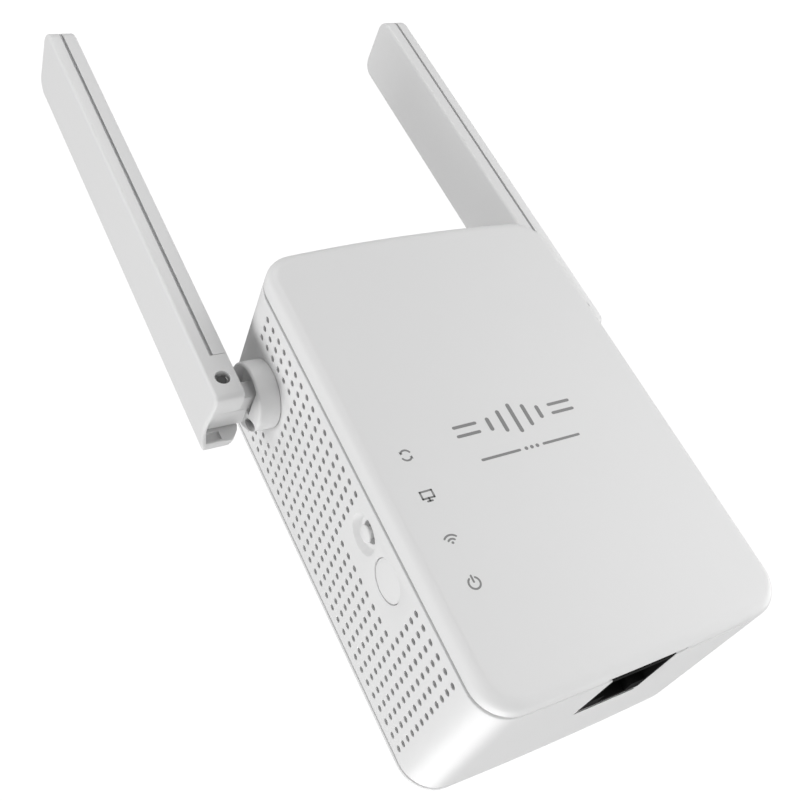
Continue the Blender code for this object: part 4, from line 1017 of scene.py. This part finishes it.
front_cover()
mid_frame()
back_cover()
indicator_icons()
front_emblem()
buttons()
network_jack()
screw_heads()
mains_plug()
for antenna_hand, antenna_side in (("left", -1), ("right", 1)):
    antenna_blade(antenna_hand, antenna_side)
    antenna_hub(antenna_hand, antenna_side)


# ---------------------------------------------------------------- studio, in metres
FLOOR_Z = -0.34
FLOOR_R = 0.62
FLOOR_FADE = (0.3, 0.6)
BACKDROP_LIGHT = 1.05
WORLD_LIGHT = 0.22
LIGHT_TARGET = Vector((0.0, -0.02, 0.03))
# name, place in metres, diameter in metres, power in watts
LIGHTS = (
    ("far_left", (-2.4, -0.1, 0.1), 1.2, 34.6),
    ("left_high", (-0.8, -0.1, 0.5), 0.5, 1.05),
    ("front_right", (0.65, -0.65, 0.2), 0.5, 1.85),
    ("front_low", (0.65, -0.65, -0.1), 0.5, 1.1),
    ("front_high", (0.0, -0.7, 0.65), 0.5, 2.6),
    ("under", (0.0, -0.06, -0.14), 0.3, 0.07),
    ("under_back", (-0.09, 0.3, -0.21), 0.26, 0.55),
    ("under_right", (0.35, -0.1, -0.14), 0.3, 0.65),
)
CAMERA_PLACE = (-0.1146, -0.1826, -0.0720)
CAMERA_TURN = (2.0668, 0.4496, -0.3540)
CAMERA_LENS = 51.1
CAMERA_SENSOR = 36.0


def floor_surface():
    """A pale matt floor that thins out to nothing towards its rim."""
    made = surface("pale_floor", (0.86, 0.86, 0.86), 0.6, grain=300.0, depth=0.05, mottle=0.01)
    nodes, links = made.node_tree.nodes, made.node_tree.links
    where = nodes.new("ShaderNodeTexCoord")
    reach = nodes.new("ShaderNodeVectorMath")
    reach.operation = "LENGTH"
    flat = nodes.new("ShaderNodeVectorMath")
    flat.operation = "MULTIPLY"
    flat.inputs[1].default_value = (1.0, 1.0, 0.0)
    links.new(where.outputs["Object"], flat.inputs[0])
    links.new(flat.outputs["Vector"], reach.inputs[0])
    fade = nodes.new("ShaderNodeMapRange")
    fade.interpolation_type = "SMOOTHSTEP"
    fade.inputs["From Min"].default_value = FLOOR_FADE[0]
    fade.inputs["From Max"].default_value = FLOOR_FADE[1]
    links.new(reach.outputs["Value"], fade.inputs["Value"])
    clear = nodes.new("ShaderNodeBsdfTransparent")
    blend = nodes.new("ShaderNodeMixShader")
    links.new(fade.outputs["Result"], blend.inputs["Fac"])
    links.new(nodes["Principled BSDF"].outputs["BSDF"], blend.inputs[1])
    links.new(clear.outputs["BSDF"], blend.inputs[2])
    links.new(blend.outputs["Shader"], nodes["Material Output"].inputs["Surface"])
    return made


def studio():
    """The floor, an even white backdrop seen only by the camera, and soft round lights."""
    bm = bmesh.new()
    bmesh.ops.create_circle(bm, cap_ends=True, segments=96, radius=FLOOR_R)
    bmesh.ops.translate(bm, vec=(0.0, 0.0, FLOOR_Z), verts=bm.verts)
    mesh = bpy.data.meshes.new("studio_floor")
    bm.to_mesh(mesh)
    bm.free()
    mesh.materials.append(floor_surface())
    floor = bpy.data.objects.new("studio_floor", mesh)
    bpy.context.scene.collection.objects.link(floor)

    world = bpy.data.worlds.new("studio")
    bpy.context.scene.world = world
    world.use_nodes = True
    nodes, links = world.node_tree.nodes, world.node_tree.links
    background = nodes["Background"]
    background.inputs["Color"].default_value = (1.0, 1.0, 1.0, 1.0)
    path = nodes.new("ShaderNodeLightPath")
    strength = nodes.new("ShaderNodeMapRange")
    strength.inputs["To Min"].default_value = WORLD_LIGHT
    strength.inputs["To Max"].default_value = BACKDROP_LIGHT
    links.new(path.outputs["Is Camera Ray"], strength.inputs["Value"])
    links.new(strength.outputs["Result"], background.inputs["Strength"])

    for name, place, size, power in LIGHTS:
        light = bpy.data.lights.new(name, "AREA")
        light.shape = "DISK"
        light.size = size
        light.energy = power
        thing = bpy.data.objects.new(name, light)
        bpy.context.scene.collection.objects.link(thing)
        thing.location = place
        thing.rotation_euler = (LIGHT_TARGET - Vector(place)).to_track_quat("-Z", "Y").to_euler()
        thing.visible_camera = False
        # the far light would show as a hard white glint in the metal and on the edges
        thing.visible_glossy = name != "far_left"


def photo_camera():
    """The view of the photo."""
    camera = bpy.data.cameras.new("photo_view")
    camera.sensor_width = CAMERA_SENSOR
    camera.lens = CAMERA_LENS
    camera.clip_start = 0.005
    holder = bpy.data.objects.new("photo_view", camera)
    holder.location = CAMERA_PLACE
    holder.rotation_euler = Euler(CAMERA_TURN, "XYZ")
    bpy.context.scene.collection.objects.link(holder)
    bpy.context.scene.camera = holder


studio()
photo_camera()
bpy.context.scene.view_settings.view_transform = "Standard"
